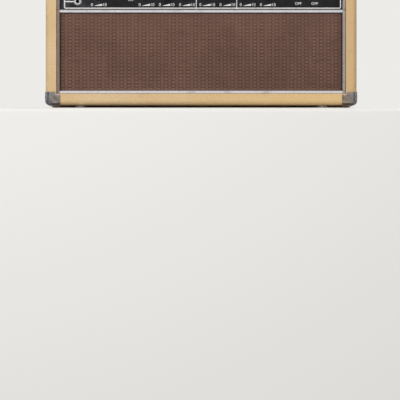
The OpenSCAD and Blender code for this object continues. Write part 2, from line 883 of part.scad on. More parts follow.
module chassis_bolts() {
    nut_z = z_ceiling - sheet_t - bolt_nut_h;
    color("silver") at_bolts() {
        translate([0, 0, nut_z - bolt_d / 2]) cylinder(d = bolt_d, h = z_top - nut_z + bolt_d / 2);
        translate([0, 0, nut_z]) hex(1.7 * bolt_d, bolt_nut_h);
        translate([0, 0, z_top]) intersection() {
            cylinder(d = bolt_head_d, h = bolt_head_h);
            translate([0, 0, bolt_head_h - bolt_head_d]) sphere(bolt_head_d);
        }
    }
}

module front_panel() {
    color([0.1, 0.1, 0.11]) difference() {
        block([-panel_w / 2, y_panel, z_panel - panel_lap],
              [panel_w / 2, y_chassis, z_panel_top + panel_lap]);
        front_holes();
    }
}

module rear_panel() {
    color([0.1, 0.1, 0.11]) difference() {
        block([-panel_w / 2, y_chassis_back, z_rear_panel],
              [panel_w / 2, y_rear_panel, z_ceiling - fit_gap]);
        rear_holes();
    }
}

// Rotary controls

module potentiometers() {
    lug_t = lug_w / 2;
    lug_in = pot_d / 5;
    bore_end = shaft_in - over;
    color("silver") for (x = knob_xs) on_front(x, z_controls) difference() {
        union() {
            translate([0, 0, wall_back - pot_l]) cylinder(d = pot_d, h = pot_l);
            translate([0, 0, wall_back]) cylinder(d = neck_d, h = pot_neck_out - wall_back);
            hex(nut_af, nut_h);
            translate([0, -pot_d / 2, wall_back - lug_w - lug_t])
                for (i = [-1, 0, 1]) translate([lug_pitch * i - lug_w / 2, lug_in - lug_l, 0])
                    cube([lug_w, lug_l, lug_t]);
        }
        translate([0, 0, bore_end])
            cylinder(d = shaft_d + 2 * running_gap, h = pot_neck_out - bore_end + over);
    }
}

shaft_in = wall_back - 2 * pot_l / 3;
shaft_out = knob_lift + knob_h - knob_cap_t;
hollow_h = pot_neck_out + over;

module control_shaft(x) {
    color("silver") on_front(x, z_controls) translate([0, 0, shaft_in])
        cylinder(d = shaft_d, h = shaft_out - shaft_in);
}

// A skirted knob: sloping dial, fluted grip, hollow underneath, blind bore for the shaft
module control_knob(x) {
    grip_r = grip_d / 2;
    skirt_r = skirt_d / 2;
    rim = skirt_rim_h / 3;
    step = grip_d / 19;
    flute_z = skirt_h + rim;
    color([0.12, 0.11, 0.1]) on_front(x, z_controls) translate([0, 0, knob_lift]) difference() {
        rotate_extrude() polygon([
            [0, 0], [skirt_r - rim, 0], [skirt_r, rim], [skirt_r, skirt_rim_h],
            [grip_r + step, skirt_h], [grip_r, skirt_h], [grip_r - 0.4 * step, knob_h - step],
            [grip_r - 1.4 * step, knob_h], [0, knob_h]
        ]);
        for (i = [0:flute_n - 1]) rotate(i * 360 / flute_n)
            translate([grip_r + flute_d / 5, 0, flute_z]) cylinder(d = flute_d, h = knob_h);
        translate([0, 0, -over]) cylinder(d = knob_hollow_d, h = hollow_h + over - knob_lift);
        cylinder(d = shaft_d, h = shaft_out - knob_lift);
        translate([0, 0, knob_h - knob_dish_h]) cylinder(r = grip_r - 2.4 * step, h = over);
    }
}

// Sockets

// Body behind the wall at depth back, threaded neck, round nut outside, blind bore
module jack(back) {
    body_w = 2 * neck_d;
    body_end = jack_nut_h - jack_bore_l - neck_d / 5;
    color("silver") difference() {
        union() {
            translate([-body_w / 2, -body_w / 2, body_end]) cube([body_w, body_w, back - body_end]);
            translate([0, 0, back]) cylinder(d = neck_d, h = jack_nut_h - back);
            rotate_extrude() polygon([
                [0, 0], [jack_nut_d / 2, 0], [jack_nut_d / 2, 0.5 * jack_nut_h],
                [0.8 * jack_nut_d / 2, jack_nut_h], [0, jack_nut_h]
            ]);
        }
        translate([0, 0, jack_nut_h - jack_bore_l])
            cylinder(d = jack_bore_d, h = jack_bore_l + over);
    }
}

module input_jacks() {
    for (j = [0, 1]) on_front(jack_x, z_jacks + j * jack_pitch) jack(wall_back);
}

module rear_jacks() {
    for (x = rear_jack_xs) on_rear(x, z_rear_controls) jack(rear_wall_back);
}

// Toggle switches

function pivot_z(t) = t[NECK_H] - t[PIVOT_H];

module toggle(t) {
    bore_l = t[PIVOT_H] + 1.6 * t[PIN_D];
    color("silver") difference() {
        union() {
            translate([-t[BODY_W] / 2, -toggle_body_h / 2, wall_back - t[BODY_L]])
                cube([t[BODY_W], toggle_body_h, t[BODY_L]]);
            translate([0, 0, wall_back]) cylinder(d = t[NECK_D], h = t[NECK_H] - wall_back);
            hex(t[NUT_AF], t[NUT_H]);
        }
        translate([0, 0, t[NECK_H] - bore_l]) cylinder(d = t[BORE_D], h = bore_l + over);
        translate([0, 0, pivot_z(t)]) rotate([0, 90, 0])
            cylinder(d = t[PIN_D] + 2 * running_gap, h = 4 * t[NECK_D], center = true);
    }
}

module toggle_switches() {
    for (x = toggle_xs) on_front(x, z_controls) toggle(small_toggle);
    for (x = [standby_x, power_x]) on_front(x, z_controls) toggle(large_toggle);
}

// A bat lever on its cross pin, tilted up at rest
module toggle_lever(t, x) {
    tip_r = t[TIP_D] / 2;
    color("gainsboro") on_front(x, z_controls) translate([0, 0, pivot_z(t)]) rotate([-lever_tilt, 0, 0]) {
        rotate([0, 90, 0]) cylinder(d = t[PIN_D], h = t[NECK_D], center = true);
        rotate([0, 90, 0]) cylinder(d = 1.2 * t[LEVER_D], h = t[BORE_D] / 2, center = true);
        cylinder(d1 = t[LEVER_D], d2 = t[TIP_D], h = t[LEVER_L] - tip_r);
        translate([0, 0, t[LEVER_L] - tip_r]) sphere(tip_r);
    }
}

// Pilot light

pilot_r = pilot_d / 2;
pilot_neck_d = 0.78 * pilot_d;
jewel_r = 0.72 * pilot_r;
// Depth of the jewel's seat below the panel
jewel_seat = pilot_h / 3;

module pilot_bezel() {
    color("silver") on_front(pilot_x, z_controls) difference() {
        union() {
            rotate_extrude() polygon([
                [0, 0], [pilot_r, 0], [pilot_r, pilot_h / 3], [0.82 * pilot_r, pilot_h], [0, pilot_h]
            ]);
            translate([0, 0, wall_back - pilot_l]) cylinder(d = pilot_neck_d, h = pilot_l - wall_back);
            translate([0, 0, wall_back - pilot_h]) hex(pilot_d, pilot_h);
        }
        translate([0, 0, -jewel_seat]) cylinder(r = jewel_r, h = pilot_h + jewel_seat + over);
    }
}

module pilot_jewel() {
    color("firebrick") on_front(pilot_x, z_controls) {
        translate([0, 0, -jewel_seat]) cylinder(r = jewel_r, h = pilot_h + jewel_seat);
        translate([0, 0, pilot_h]) intersection() {
            cylinder(r = jewel_r, h = jewel_r);
            translate([0, 0, -jewel_r / 3]) sphere(1.055 * jewel_r);
        }
    }
}

// Rear fittings

// A three-pin inlet: flange, socket with two cut corners, three flat blades
module mains_inlet() {
    x = inlet_socket_w / 2;
    y = inlet_socket_h / 2;
    cut = inlet_socket_h / 4;
    floor_z = inlet_flange_t - inlet_socket_l;
    color([0.1, 0.1, 0.1]) on_rear(inlet_x, z_rear_controls) {
        difference() {
            union() {
                linear_extrude(inlet_flange_t) rounded_rect(inlet_flange_w, inlet_flange_h, inlet_flange_h / 5);
                translate([-inlet_body_w / 2, -inlet_body_h / 2, floor_z - inlet_wall])
                    cube([inlet_body_w, inlet_body_h, inlet_wall - floor_z]);
            }
            translate([0, 0, floor_z]) linear_extrude(inlet_socket_l + over)
                polygon([[-x, -y], [x, -y], [x, y - cut], [x - cut, y], [cut - x, y], [-x, y - cut]]);
        }
        for (i = [-1, 0, 1])
            translate([i * blade_pitch - blade_t / 2, (i == 0 ? 1 : -1) * blade_t - blade_w / 2, floor_z])
                cube([blade_t, blade_w, blade_l]);
    }
}

fuse_stem_d = 0.64 * fuse_d;
fuse_rim_d = 1.28 * fuse_d;
fuse_nut_h = 0.28 * fuse_d;
// The cap's grip stands this far off the holder's rim
fuse_lift = 0.4;

module fuse_holder() {
    stem_hole_l = fuse_stem_l + over;
    color([0.1, 0.1, 0.1]) on_rear(fuse_x, z_rear_controls) difference() {
        union() {
            cylinder(d = fuse_rim_d, h = fuse_rim_h);
            translate([0, 0, rear_wall_back - fuse_l]) cylinder(d = fuse_d, h = fuse_l - rear_wall_back);
            translate([0, 0, rear_wall_back - fuse_nut_h]) hex(fuse_rim_d + over, fuse_nut_h);
        }
        translate([0, 0, -stem_hole_l])
            cylinder(d = fuse_stem_d + 2 * running_gap, h = fuse_rim_h + stem_hole_l + over);
    }
}

// Bayonet cap with a grooved grip and a coin slot, its stem runs in the holder
module fuse_cap() {
    grooves = 16;
    groove_d = fuse_d / 10;
    slot_w = 1.6;
    slot_h = 0.8;
    grip_h = fuse_cap_h - fuse_rim_h;
    color([0.12, 0.12, 0.12]) on_rear(fuse_x, z_rear_controls) {
        translate([0, 0, -fuse_stem_l]) cylinder(d = fuse_stem_d, h = fuse_stem_l + fuse_rim_h + over);
        translate([0, 0, fuse_rim_h + fuse_lift]) difference() {
            cylinder(d = fuse_d, h = grip_h);
            for (i = [0:grooves - 1]) rotate(i * 360 / grooves)
                translate([fuse_d / 2 + groove_d / 5, 0, -over]) cylinder(d = groove_d, h = grip_h + 2 * over);
            translate([-0.4 * fuse_d, -slot_w / 2, grip_h - slot_h])
                cube([0.8 * fuse_d, slot_w, slot_h + over]);
        }
    }
}

module selector_switch() {
    bore_l = selector_shaft_l + over;
    neck_out = nut_h + 0.4;
    color("silver") on_rear(selector_x, z_rear_controls) difference() {
        union() {
            translate([0, 0, rear_wall_back - selector_body_l])
                cylinder(d = selector_body_d, h = selector_body_l);
            translate([0, 0, rear_wall_back]) cylinder(d = neck_d, h = neck_out - rear_wall_back);
            hex(nut_af, nut_h);
        }
        translate([0, 0, rear_wall_back - bore_l])
            cylinder(d = shaft_d + 2 * running_gap, h = bore_l + neck_out + over - rear_wall_back);
    }
}

// Pointer knob with its shaft, pointing up at rest
module selector_knob() {
    lift = nut_h + 0.8;
    h = selector_h;
    r = selector_d / 2;
    color([0.12, 0.11, 0.1]) on_rear(selector_x, z_rear_controls) {
        translate([0, 0, rear_wall_back - selector_shaft_l])
            cylinder(d = shaft_d, h = selector_shaft_l + lift + h / 5 - rear_wall_back);
        translate([0, 0, lift]) intersection() {
            union() {
                cylinder(r = r, h = 0.35 * h);
                linear_extrude(h) polygon([
                    [-0.3 * r, -0.9 * r], [0.3 * r, -0.9 * r], [0.42 * r, 0], [0.12 * r, 1.5 * r],
                    [-0.12 * r, 1.5 * r], [-0.42 * r, 0]
                ]);
            }
            translate([0, 0.3 * r, h - 3 * r]) sphere(3 * r);
        }
    }
}

// Inside

part_n = floor((pcb_w - part_pitch / 2) / part_pitch);

// Board on pillars, with a row of capacitors and a row of resistors, each sunk a little in its pads
module circuit_board() {
    part_sink = 0.2;
    color("peru") translate([pcb_inset_x - chassis_w / 2, y_chassis + pcb_inset_y, z_chassis + sheet_t]) {
        translate([0, 0, standoff_h]) cube([pcb_w, pcb_d, pcb_t]);
        for (x = [standoff_inset, pcb_w / 2, pcb_w - standoff_inset])
            for (y = [standoff_inset, pcb_d - standoff_inset])
                translate([x, y, 0]) cylinder(d = standoff_d, h = standoff_h);
        for (i = [0:part_n - 1]) translate([(i + 0.6) * part_pitch, 0, standoff_h + pcb_t - part_sink]) {
            translate([0, pcb_d / 4, film_d / 2])
                rotate([90, 0, 0]) cylinder(d = film_d, h = film_l, center = true);
            translate([part_pitch / 3, 0.6 * pcb_d, resistor_d / 2])
                rotate([90, 0, 0]) cylinder(d = resistor_d, h = resistor_l, center = true);
        }
    }
}

// Laminations of width w between two bell covers, hung by its upper face
module transformer(w, stack) {
    h = transformer_h(w);
    bell = bell_t(w);
    r = 0.09 * w;
    translate([-w / 2, -stack / 2, 0]) cube([w, stack, h]);
    for (m = [0, 1]) mirror([0, m, 0]) translate([0, stack / 2 + bell / 2, h / 2]) {
        along_y(bell) rounded_rect(0.86 * w, 0.86 * h, r);
        translate([0, bell / 2 + bell / 8, 0]) along_y(bell / 4) rounded_rect(0.7 * w, 0.7 * h, r);
    }
}

function transformer_h(w) = 0.85 * w;

// A bell cover's depth without the dome on it
function bell_t(w) = 0.2 * w;

// Half the depth over both bell covers
function transformer_r(w, stack) = stack / 2 + 1.25 * bell_t(w);

// From the right: power transformer, power valves with the filter capacitors before them,
// output transformer, choke
filter_flange_d = 1.17 * filter_d;
filter_pitch = filter_flange_d + under_gap;
power_tr_x = chassis_w / 2 - power_tr_inset - power_tr_w / 2;
power_tr_left = power_tr_x - power_tr_w / 2;
valve_last_x = power_tr_left - under_gap - valve_d / 2;
valve_xs = [for (i = [0:valve_n - 1]) valve_last_x - (valve_n - 1 - i) * valve_pitch];
filter_xs = [for (i = [1:filter_n]) power_tr_left - i * filter_pitch + filter_flange_d / 2];
output_tr_x = valve_xs[0] - valve_d / 2 - under_gap - output_tr_w / 2;
choke_x = output_tr_x - output_tr_w / 2 - under_gap - choke_w / 2;
shield_xs = [for (i = [0:shield_n - 1]) -chassis_w / 2 + shield_inset + i * shield_pitch];
valve_y = y_chassis_back - valve_inset;
front_y = y_chassis + front_inset;
power_tr_y = (y_chassis + y_chassis_back) / 2;
output_tr_y = y_chassis_back - chassis_lip - transformer_r(output_tr_w, output_tr_stack);
choke_y = y_chassis_back - chassis_lip - transformer_r(choke_w, choke_stack);
// Each socket hole is [x, y, diameter]
socket_places = concat(
    [for (x = valve_xs) [x, valve_y, valve_base_d - socket_lap]],
    [for (x = shield_xs) [x, front_y, shield_d - socket_lap]]
);

module power_transformer() {
    color("dimgray") under_chassis(power_tr_x, power_tr_y) transformer(power_tr_w, power_tr_stack);
}

module output_transformer() {
    color("dimgray") under_chassis(output_tr_x, output_tr_y) transformer(output_tr_w, output_tr_stack);
}

module choke() {
    color("dimgray") under_chassis(choke_x, choke_y) transformer(choke_w, choke_stack);
}

module filter_capacitors() {
    flange_t = 2;
    groove_r = 1.2;
    color("lightsteelblue") for (x = filter_xs) under_chassis(x, front_y) difference() {
        union() {
            cylinder(d = filter_flange_d, h = flange_t);
            cylinder(d = filter_d, h = filter_l);
        }
        rotate_extrude() translate([filter_d / 2 + groove_r / 2, 3 * flange_t]) circle(groove_r);
    }
}

// Rings under the chassis floor with a boss that passes up through it
module tube_sockets() {
    color("darkgoldenrod") for (p = socket_places) under_chassis(p[0], p[1]) {
        cylinder(d = p[2] + 2 * socket_lap, h = socket_h);
        translate([0, 0, -sheet_t - socket_h]) cylinder(d = p[2], h = sheet_t + 2 * socket_h);
    }
}

// Depth of the glass in a valve's base, and the wall of that base
glass_seat = 4;
base_wall = 2;

module power_tube_bases() {
    color("saddlebrown") for (x = valve_xs) under_chassis(x, valve_y) translate([0, 0, socket_h])
        difference() {
            cylinder(d = valve_base_d, h = valve_base_h);
            translate([0, 0, valve_base_h - glass_seat])
                cylinder(d = valve_base_d - 2 * base_wall, h = glass_seat + over);
        }
}

// Outline of a valve's glass shrunk by g, from its base to its domed end
module valve_outline(g) {
    r = valve_d / 2 - g;
    neck_r = valve_base_d / 2 - base_wall - 0.2 - g;
    neck_l = glass_seat + over;
    dome = 0.55 * r;
    polygon(concat(
        [[0, g], [neck_r, g], [neck_r, neck_l], [r, neck_l + r - neck_r], [r, valve_l - g - dome]],
        [for (a = [15:15:75]) [r * cos(a), valve_l - g - dome + dome * sin(a)]],
        [[0, valve_l - g]]
    ));
}

module power_tube_glass() {
    color([0.8, 0.85, 0.9, 0.5]) for (x = valve_xs) under_chassis(x, valve_y)
        translate([0, 0, socket_h + valve_base_h - glass_seat]) rotate_extrude() difference() {
            valve_outline(0);
            valve_outline(glass_t);
        }
}

// Screening cans with a collar at the socket and a hole in the end
module preamp_shields() {
    r = shield_d / 2;
    collar_h = 8;
    collar_t = 0.8;
    wall_t = 1.2;
    end_r = 1.5;
    vent_r = 4;
    color("silver") for (x = shield_xs) under_chassis(x, front_y) translate([0, 0, socket_h])
        rotate_extrude() difference() {
            polygon([
                [0, 0], [r, 0], [r, collar_h], [r - collar_t, collar_h + collar_t],
                [r - collar_t, shield_l - end_r], [r - collar_t - end_r, shield_l], [0, shield_l]
            ]);
            translate([-over, -over]) square([r - collar_t - wall_t + over, shield_l - wall_t + over]);
            translate([-over, 0]) square([vent_r + over, shield_l + over]);
        }
}

left_side_board();
right_side_board();
top_board();
bottom_board();
vinyl_covering();
corner_protectors();
feet();
handle_strap();
handle_caps();
cleats();
baffle_board();
grille_cloth();
trim_beads();
back_panel();
vent_screen();
chassis();
chassis_bolts();
front_panel();
rear_panel();
potentiometers();
input_jacks();
toggle_switches();
pilot_bezel();
pilot_jewel();
rear_jacks();
mains_inlet();
fuse_holder();
fuse_cap();
selector_switch();
selector_knob();
circuit_board();
power_transformer();
output_transformer();
choke();
filter_capacitors();
tube_sockets();
power_tube_bases();
power_tube_glass();
preamp_shields();
for (i = [0:7]) {
    control_knob(knob_xs[i]);
    control_shaft(knob_xs[i]);
}
for (i = [0:2])
    toggle_lever(small_toggle, toggle_xs[i]);
toggle_lever(large_toggle, standby_x);  // standby_lever
toggle_lever(large_toggle, power_x);  // power_lever
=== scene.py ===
import json
import math
from itertools import product

import bmesh
import bpy
from mathutils import Matrix, Vector


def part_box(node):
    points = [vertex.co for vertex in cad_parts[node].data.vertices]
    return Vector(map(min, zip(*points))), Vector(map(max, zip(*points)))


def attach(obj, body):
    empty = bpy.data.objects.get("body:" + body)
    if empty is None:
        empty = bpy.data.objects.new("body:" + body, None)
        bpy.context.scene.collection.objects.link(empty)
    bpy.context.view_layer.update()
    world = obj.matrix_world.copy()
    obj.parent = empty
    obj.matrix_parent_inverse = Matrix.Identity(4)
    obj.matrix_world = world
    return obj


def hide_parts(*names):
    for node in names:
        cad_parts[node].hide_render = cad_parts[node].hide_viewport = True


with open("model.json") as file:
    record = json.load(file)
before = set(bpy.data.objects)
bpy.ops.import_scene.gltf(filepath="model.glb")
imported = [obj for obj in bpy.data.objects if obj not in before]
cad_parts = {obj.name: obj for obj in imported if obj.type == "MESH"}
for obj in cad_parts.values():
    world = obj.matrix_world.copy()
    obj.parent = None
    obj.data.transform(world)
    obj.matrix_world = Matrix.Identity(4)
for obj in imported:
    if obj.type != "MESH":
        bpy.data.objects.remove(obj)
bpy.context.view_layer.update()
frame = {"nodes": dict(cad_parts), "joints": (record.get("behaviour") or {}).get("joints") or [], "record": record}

# Camera: level and square to the front, three metres away. Its middle lies below the standing
# surface, so its frame cuts the head off just above the lower edge of the control panel.
field_width = 0.7982
field_middle_x = -0.0023
field_middle_z = -0.1842
camera_distance = 3.0
sensor_width = 36.0
scene = bpy.context.scene
case_low, case_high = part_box("vinyl_covering")
camera_data = bpy.data.cameras.new("camera")
camera_data.sensor_width = sensor_width
camera_data.lens = sensor_width * camera_distance / field_width
camera = bpy.data.objects.new("camera", camera_data)
camera.location = (field_middle_x, case_low.y - camera_distance, field_middle_z)
camera.rotation_euler = (math.radians(90), 0, 0)
scene.collection.objects.link(camera)
scene.camera = camera
scene.view_settings.view_transform = "Standard"

# Stage: a pale plinth whose rounded front edge lies just before the case, in soft studio light.
# The room that metal and glass show is bright above and below, and greyer at eye level, where a
# pale wall stands on each of its four sides with darker corners between them.
plinth_colour = (226, 224, 220)
plinth_gap = 0.012
plinth_front = case_low.y - plinth_gap
plinth_back = 2.5
plinth_half_width = 2.5
plinth_height = 1.4
plinth_roughness = 0.8
plinth_edge = 0.010
plinth_edge_steps = 8
room_colour = (236, 235, 232)
room_light = 0.54
wall_count = 4.0
corner_gleam = 0.35
gleam_low = 0.44
gleam_low_rise = 0.05
gleam_high = 1.00
gleam_high_rise = 0.75
case_middle = (case_low + case_high) / 2


def linear(colour):
    """Linear light values of an sRGB colour that is written from 0 to 255."""
    parts = [part / 255 for part in colour]
    return [((part + 0.055) / 1.055) ** 2.4 if part > 0.04 else part / 12.92 for part in parts] + [1.0]


def add_node(tree, kind, inputs=None, **settings):
    """Adds a node and gives its outputs. An input is linked to sockets, or set to any other value."""
    made = tree.nodes.new(kind)
    for name, value in settings.items():
        setattr(made, name, value)
    for key, value in (inputs or {}).items():
        several = value if isinstance(value, list) else [value]
        if isinstance(several[0], bpy.types.NodeSocket):
            for socket in several:
                tree.links.new(socket, made.inputs[key])
        else:
            made.inputs[key].default_value = value
    return made.outputs


def calculate(tree, operation, first, second=0.0):
    return add_node(tree, "ShaderNodeMath", {0: first, 1: second}, operation=operation)[0]


def times(tree, first, second):
    return calculate(tree, "MULTIPLY", first, second)


def remap(tree, value, low, high, first=0.0, last=1.0):
    """Maps low to first and high to last, with soft ends."""
    inputs = {"Value": value, "From Min": low, "From Max": high, "To Min": first, "To Max": last}
    return add_node(tree, "ShaderNodeMapRange", inputs, interpolation_type="SMOOTHSTEP")[0]


def shader_of(finish):
    return finish.node_tree.nodes["Principled BSDF"]


def new_finish(name, colour, roughness, metallic=0.0, sockets=None):
    """A principled material whose constant values sit on the shader's own sockets."""
    finish = bpy.data.materials.new(name)
    finish.use_nodes = True
    values = {"Base Color": linear(colour), "Roughness": roughness, "Metallic": metallic}
    values.update(sockets or {})
    for socket, value in values.items():
        shader_of(finish).inputs[socket].default_value = value
    return finish


def add_lamp(name, place, width, height, power):
    """A soft box that faces the middle of the case. Gloss shows the room and not the boxes."""
    lamp = bpy.data.lights.new(name, "AREA")
    lamp.shape = "RECTANGLE"
    lamp.size = width
    lamp.size_y = height
    lamp.energy = power
    carrier = bpy.data.objects.new(name, lamp)
    carrier.visible_glossy = False
    carrier.location = place
    carrier.rotation_euler = (case_middle - Vector(place)).to_track_quat("-Z", "Y").to_euler()
    scene.collection.objects.link(carrier)


plinth_profile = [(plinth_back, 0.0)]
for step in range(plinth_edge_steps + 1):
    turn = math.radians(90 * step / plinth_edge_steps)
    edge_y = plinth_front + plinth_edge * (1 - math.sin(turn))
    plinth_profile.append((edge_y, plinth_edge * (math.cos(turn) - 1)))
plinth_profile.append((plinth_front, -plinth_height))
plinth_points = [(x, y, z) for y, z in plinth_profile for x in (plinth_half_width, -plinth_half_width)]
plinth_faces = [(i, i + 1, i + 3, i + 2) for i in range(0, len(plinth_points) - 2, 2)]
plinth_mesh = bpy.data.meshes.new("plinth")
plinth_mesh.from_pydata(plinth_points, [], plinth_faces)
plinth_mesh.shade_smooth()
plinth_mesh.materials.append(new_finish("plinth_paint", plinth_colour, plinth_roughness))
plinth = bpy.data.objects.new("plinth", plinth_mesh)
scene.collection.objects.link(plinth)

world = bpy.data.worlds.new("studio")
scene.world = world
world.use_nodes = True
sky = world.node_tree
sky.nodes.clear()
ray = add_node(sky, "ShaderNodeLightPath")
direction = add_node(sky, "ShaderNodeTexCoord")["Generated"]
axes = add_node(sky, "ShaderNodeSeparateXYZ", {0: direction})
bearing = times(sky, calculate(sky, "ARCTAN2", axes[0], axes[1]), wall_count)
walls = remap(sky, calculate(sky, "COSINE", bearing), -1.0, 1.0, corner_gleam)
rise = calculate(sky, "ABSOLUTE", axes[2])
gleam = times(sky, remap(sky, rise, gleam_low_rise, gleam_high_rise, gleam_low, gleam_high), walls)
shown = add_node(sky, "ShaderNodeMix", {
    0: ray["Is Glossy Ray"], 6: linear(room_colour), 7: gleam}, data_type="RGBA")[2]
seen = calculate(sky, "MAXIMUM", ray["Is Camera Ray"], ray["Is Glossy Ray"])
seen = calculate(sky, "MAXIMUM", seen, ray["Is Transmission Ray"])
ambient = add_node(sky, "ShaderNodeBackground", {"Color": (1, 1, 1, 1), "Strength": room_light})[0]
backdrop = add_node(sky, "ShaderNodeBackground", {"Color": shown})[0]
light = add_node(sky, "ShaderNodeMixShader", {0: seen, 1: ambient, 2: backdrop})[0]
add_node(sky, "ShaderNodeOutputWorld", {0: light})
add_lamp("key_lamp", (-0.9, -3.0, 1.15), width=2.4, height=1.2, power=70.0)
add_lamp("top_lamp", (0.4, 0.0, 2.4), width=1.8, height=1.2, power=15.0)
add_lamp("back_lamp", (1.2, 2.8, 1.2), width=2.4, height=1.2, power=46.0)

# Wooden case: four birch ply boards with finger-jointed corners, the battens glued inside it
# and the baffle that is screwed to them. The wood is left bare.
ply_colour = (206, 172, 126)
ply_streak_colour = (170, 128, 82)
ply_streaks_per_metre = 260.0
ply_streak_stretch = (0.04, 1, 1)
ply_streak_depth = 0.0001


def coordinates(tree, stretch=(1, 1, 1)):
    """The piece's own coordinates, stretched."""
    where = add_node(tree, "ShaderNodeTexCoord")["Object"]
    return add_node(tree, "ShaderNodeMapping", {"Vector": where, "Scale": stretch})[0]


def noise(tree, per_metre, detail=2.0, stretch=(1, 1, 1), output=0):
    """Soft noise with about this many features to a metre."""
    inputs = {"Vector": coordinates(tree, stretch), "Scale": per_metre, "Detail": detail}
    return add_node(tree, "ShaderNodeTexNoise", inputs)[output]


def tint(finish, colour, share):
    """Lays a colour over the finish, as much as share says."""
    tree = finish.node_tree
    base = shader_of(finish).inputs["Base Color"]
    under = base.links[0].from_socket if base.is_linked else tuple(base.default_value)
    over = add_node(tree, "ShaderNodeMix", {0: share, 6: under, 7: linear(colour)}, data_type="RGBA")
    tree.links.new(over[2], base)


def fade_in(finish, colour, value, start, end, share=1.0):
    """Lays a colour over the finish, from none where the value is at start to this share at end."""
    tint(finish, colour, remap(finish.node_tree, value, start, end, 0.0, share))


def emboss(finish, height, depth):
    """Adds a relief of this depth in metres on top of any that the finish has."""
    tree = finish.node_tree
    normal = shader_of(finish).inputs["Normal"]
    inputs = {"Height": height, "Distance": depth}
    if normal.is_linked:
        inputs["Normal"] = normal.links[0].from_socket
    tree.links.new(add_node(tree, "ShaderNodeBump", inputs)[0], normal)


def dress(finish, *nodes):
    """Gives CAD nodes a finish."""
    for name in nodes:
        materials = frame["nodes"][name].data.materials
        materials.clear()
        materials.append(finish)


ply = new_finish("birch_ply", ply_colour, roughness=0.6)
ply_streaks = noise(ply.node_tree, ply_streaks_per_metre, detail=4.0, stretch=ply_streak_stretch)
fade_in(ply, ply_streak_colour, ply_streaks, 0.4, 0.75)
emboss(ply, ply_streaks, ply_streak_depth)
dress(ply, "left_side_board", "right_side_board", "top_board", "bottom_board", "cleats", "baffle_board")

# Covering: one sheet of tan vinyl with a fine pebbled grain, glued over the boards and turned in
# round both openings. It has patches of grime and paler spots where its edges have rubbed. Painted
# shade darkens its rounded edges, its foot and its right side, and painted light brightens the foot
# of the front towards the right.
vinyl_colour = (219, 190, 147)
vinyl_warm_and_shade_colour = (210, 174, 122)
vinyl_rubbed_colour = (231, 208, 168)
# This colour serves both the grime and the painted shade on the edges and foot.
vinyl_grime_and_shade_colour = (150, 122, 84)
vinyl_scuff_colour = (136, 106, 72)
vinyl_foot_light_colour = (234, 200, 142)
vinyl_grain_per_metre = 620.0
vinyl_grain_depth = 0.00035
vinyl_bend_per_metre = 500.0
vinyl_bend = 0.0010
edge_width = 0.010
foot_light_height = 0.022
foot_light_blend = 1.3


def axes_of(tree):
    """The piece's own X, Y and Z."""
    return add_node(tree, "ShaderNodeSeparateXYZ", {0: coordinates(tree)})


def near_edges(tree, low, high, reach):
    """1 along the outer edges of a box and 0 from reach away."""
    axes = axes_of(tree)
    past = []
    for axis in range(3):
        middle = (low[axis] + high[axis]) / 2
        inner = (high[axis] - low[axis]) / 2 - reach
        side = calculate(tree, "ABSOLUTE", calculate(tree, "SUBTRACT", axes[axis], middle))
        past.append(calculate(tree, "SUBTRACT", side, inner))
    pairs = [calculate(tree, "MINIMUM", past[axis], past[axis - 1]) for axis in range(3)]
    nearest = calculate(tree, "MAXIMUM", calculate(tree, "MAXIMUM", pairs[0], pairs[1]), pairs[2])
    return remap(tree, nearest, 0.0, reach)


def mottle(finish, colour, per_metre, share=1.0, detail=3.0, between=(0.5, 0.8), stretch=(1, 1, 1)):
    """Lays a colour over the finish in soft patches, where noise rises between two values."""
    fade_in(finish, colour, noise(finish.node_tree, per_metre, detail, stretch), *between, share)


def roughen(finish, smooth, rough, per_metre, detail=3.0, stretch=(1, 1, 1)):
    """Lets the roughness wander between two values."""
    tree = finish.node_tree
    wander = remap(tree, noise(tree, per_metre, detail, stretch), 0.3, 0.7, smooth, rough)
    tree.links.new(wander, shader_of(finish).inputs["Roughness"])


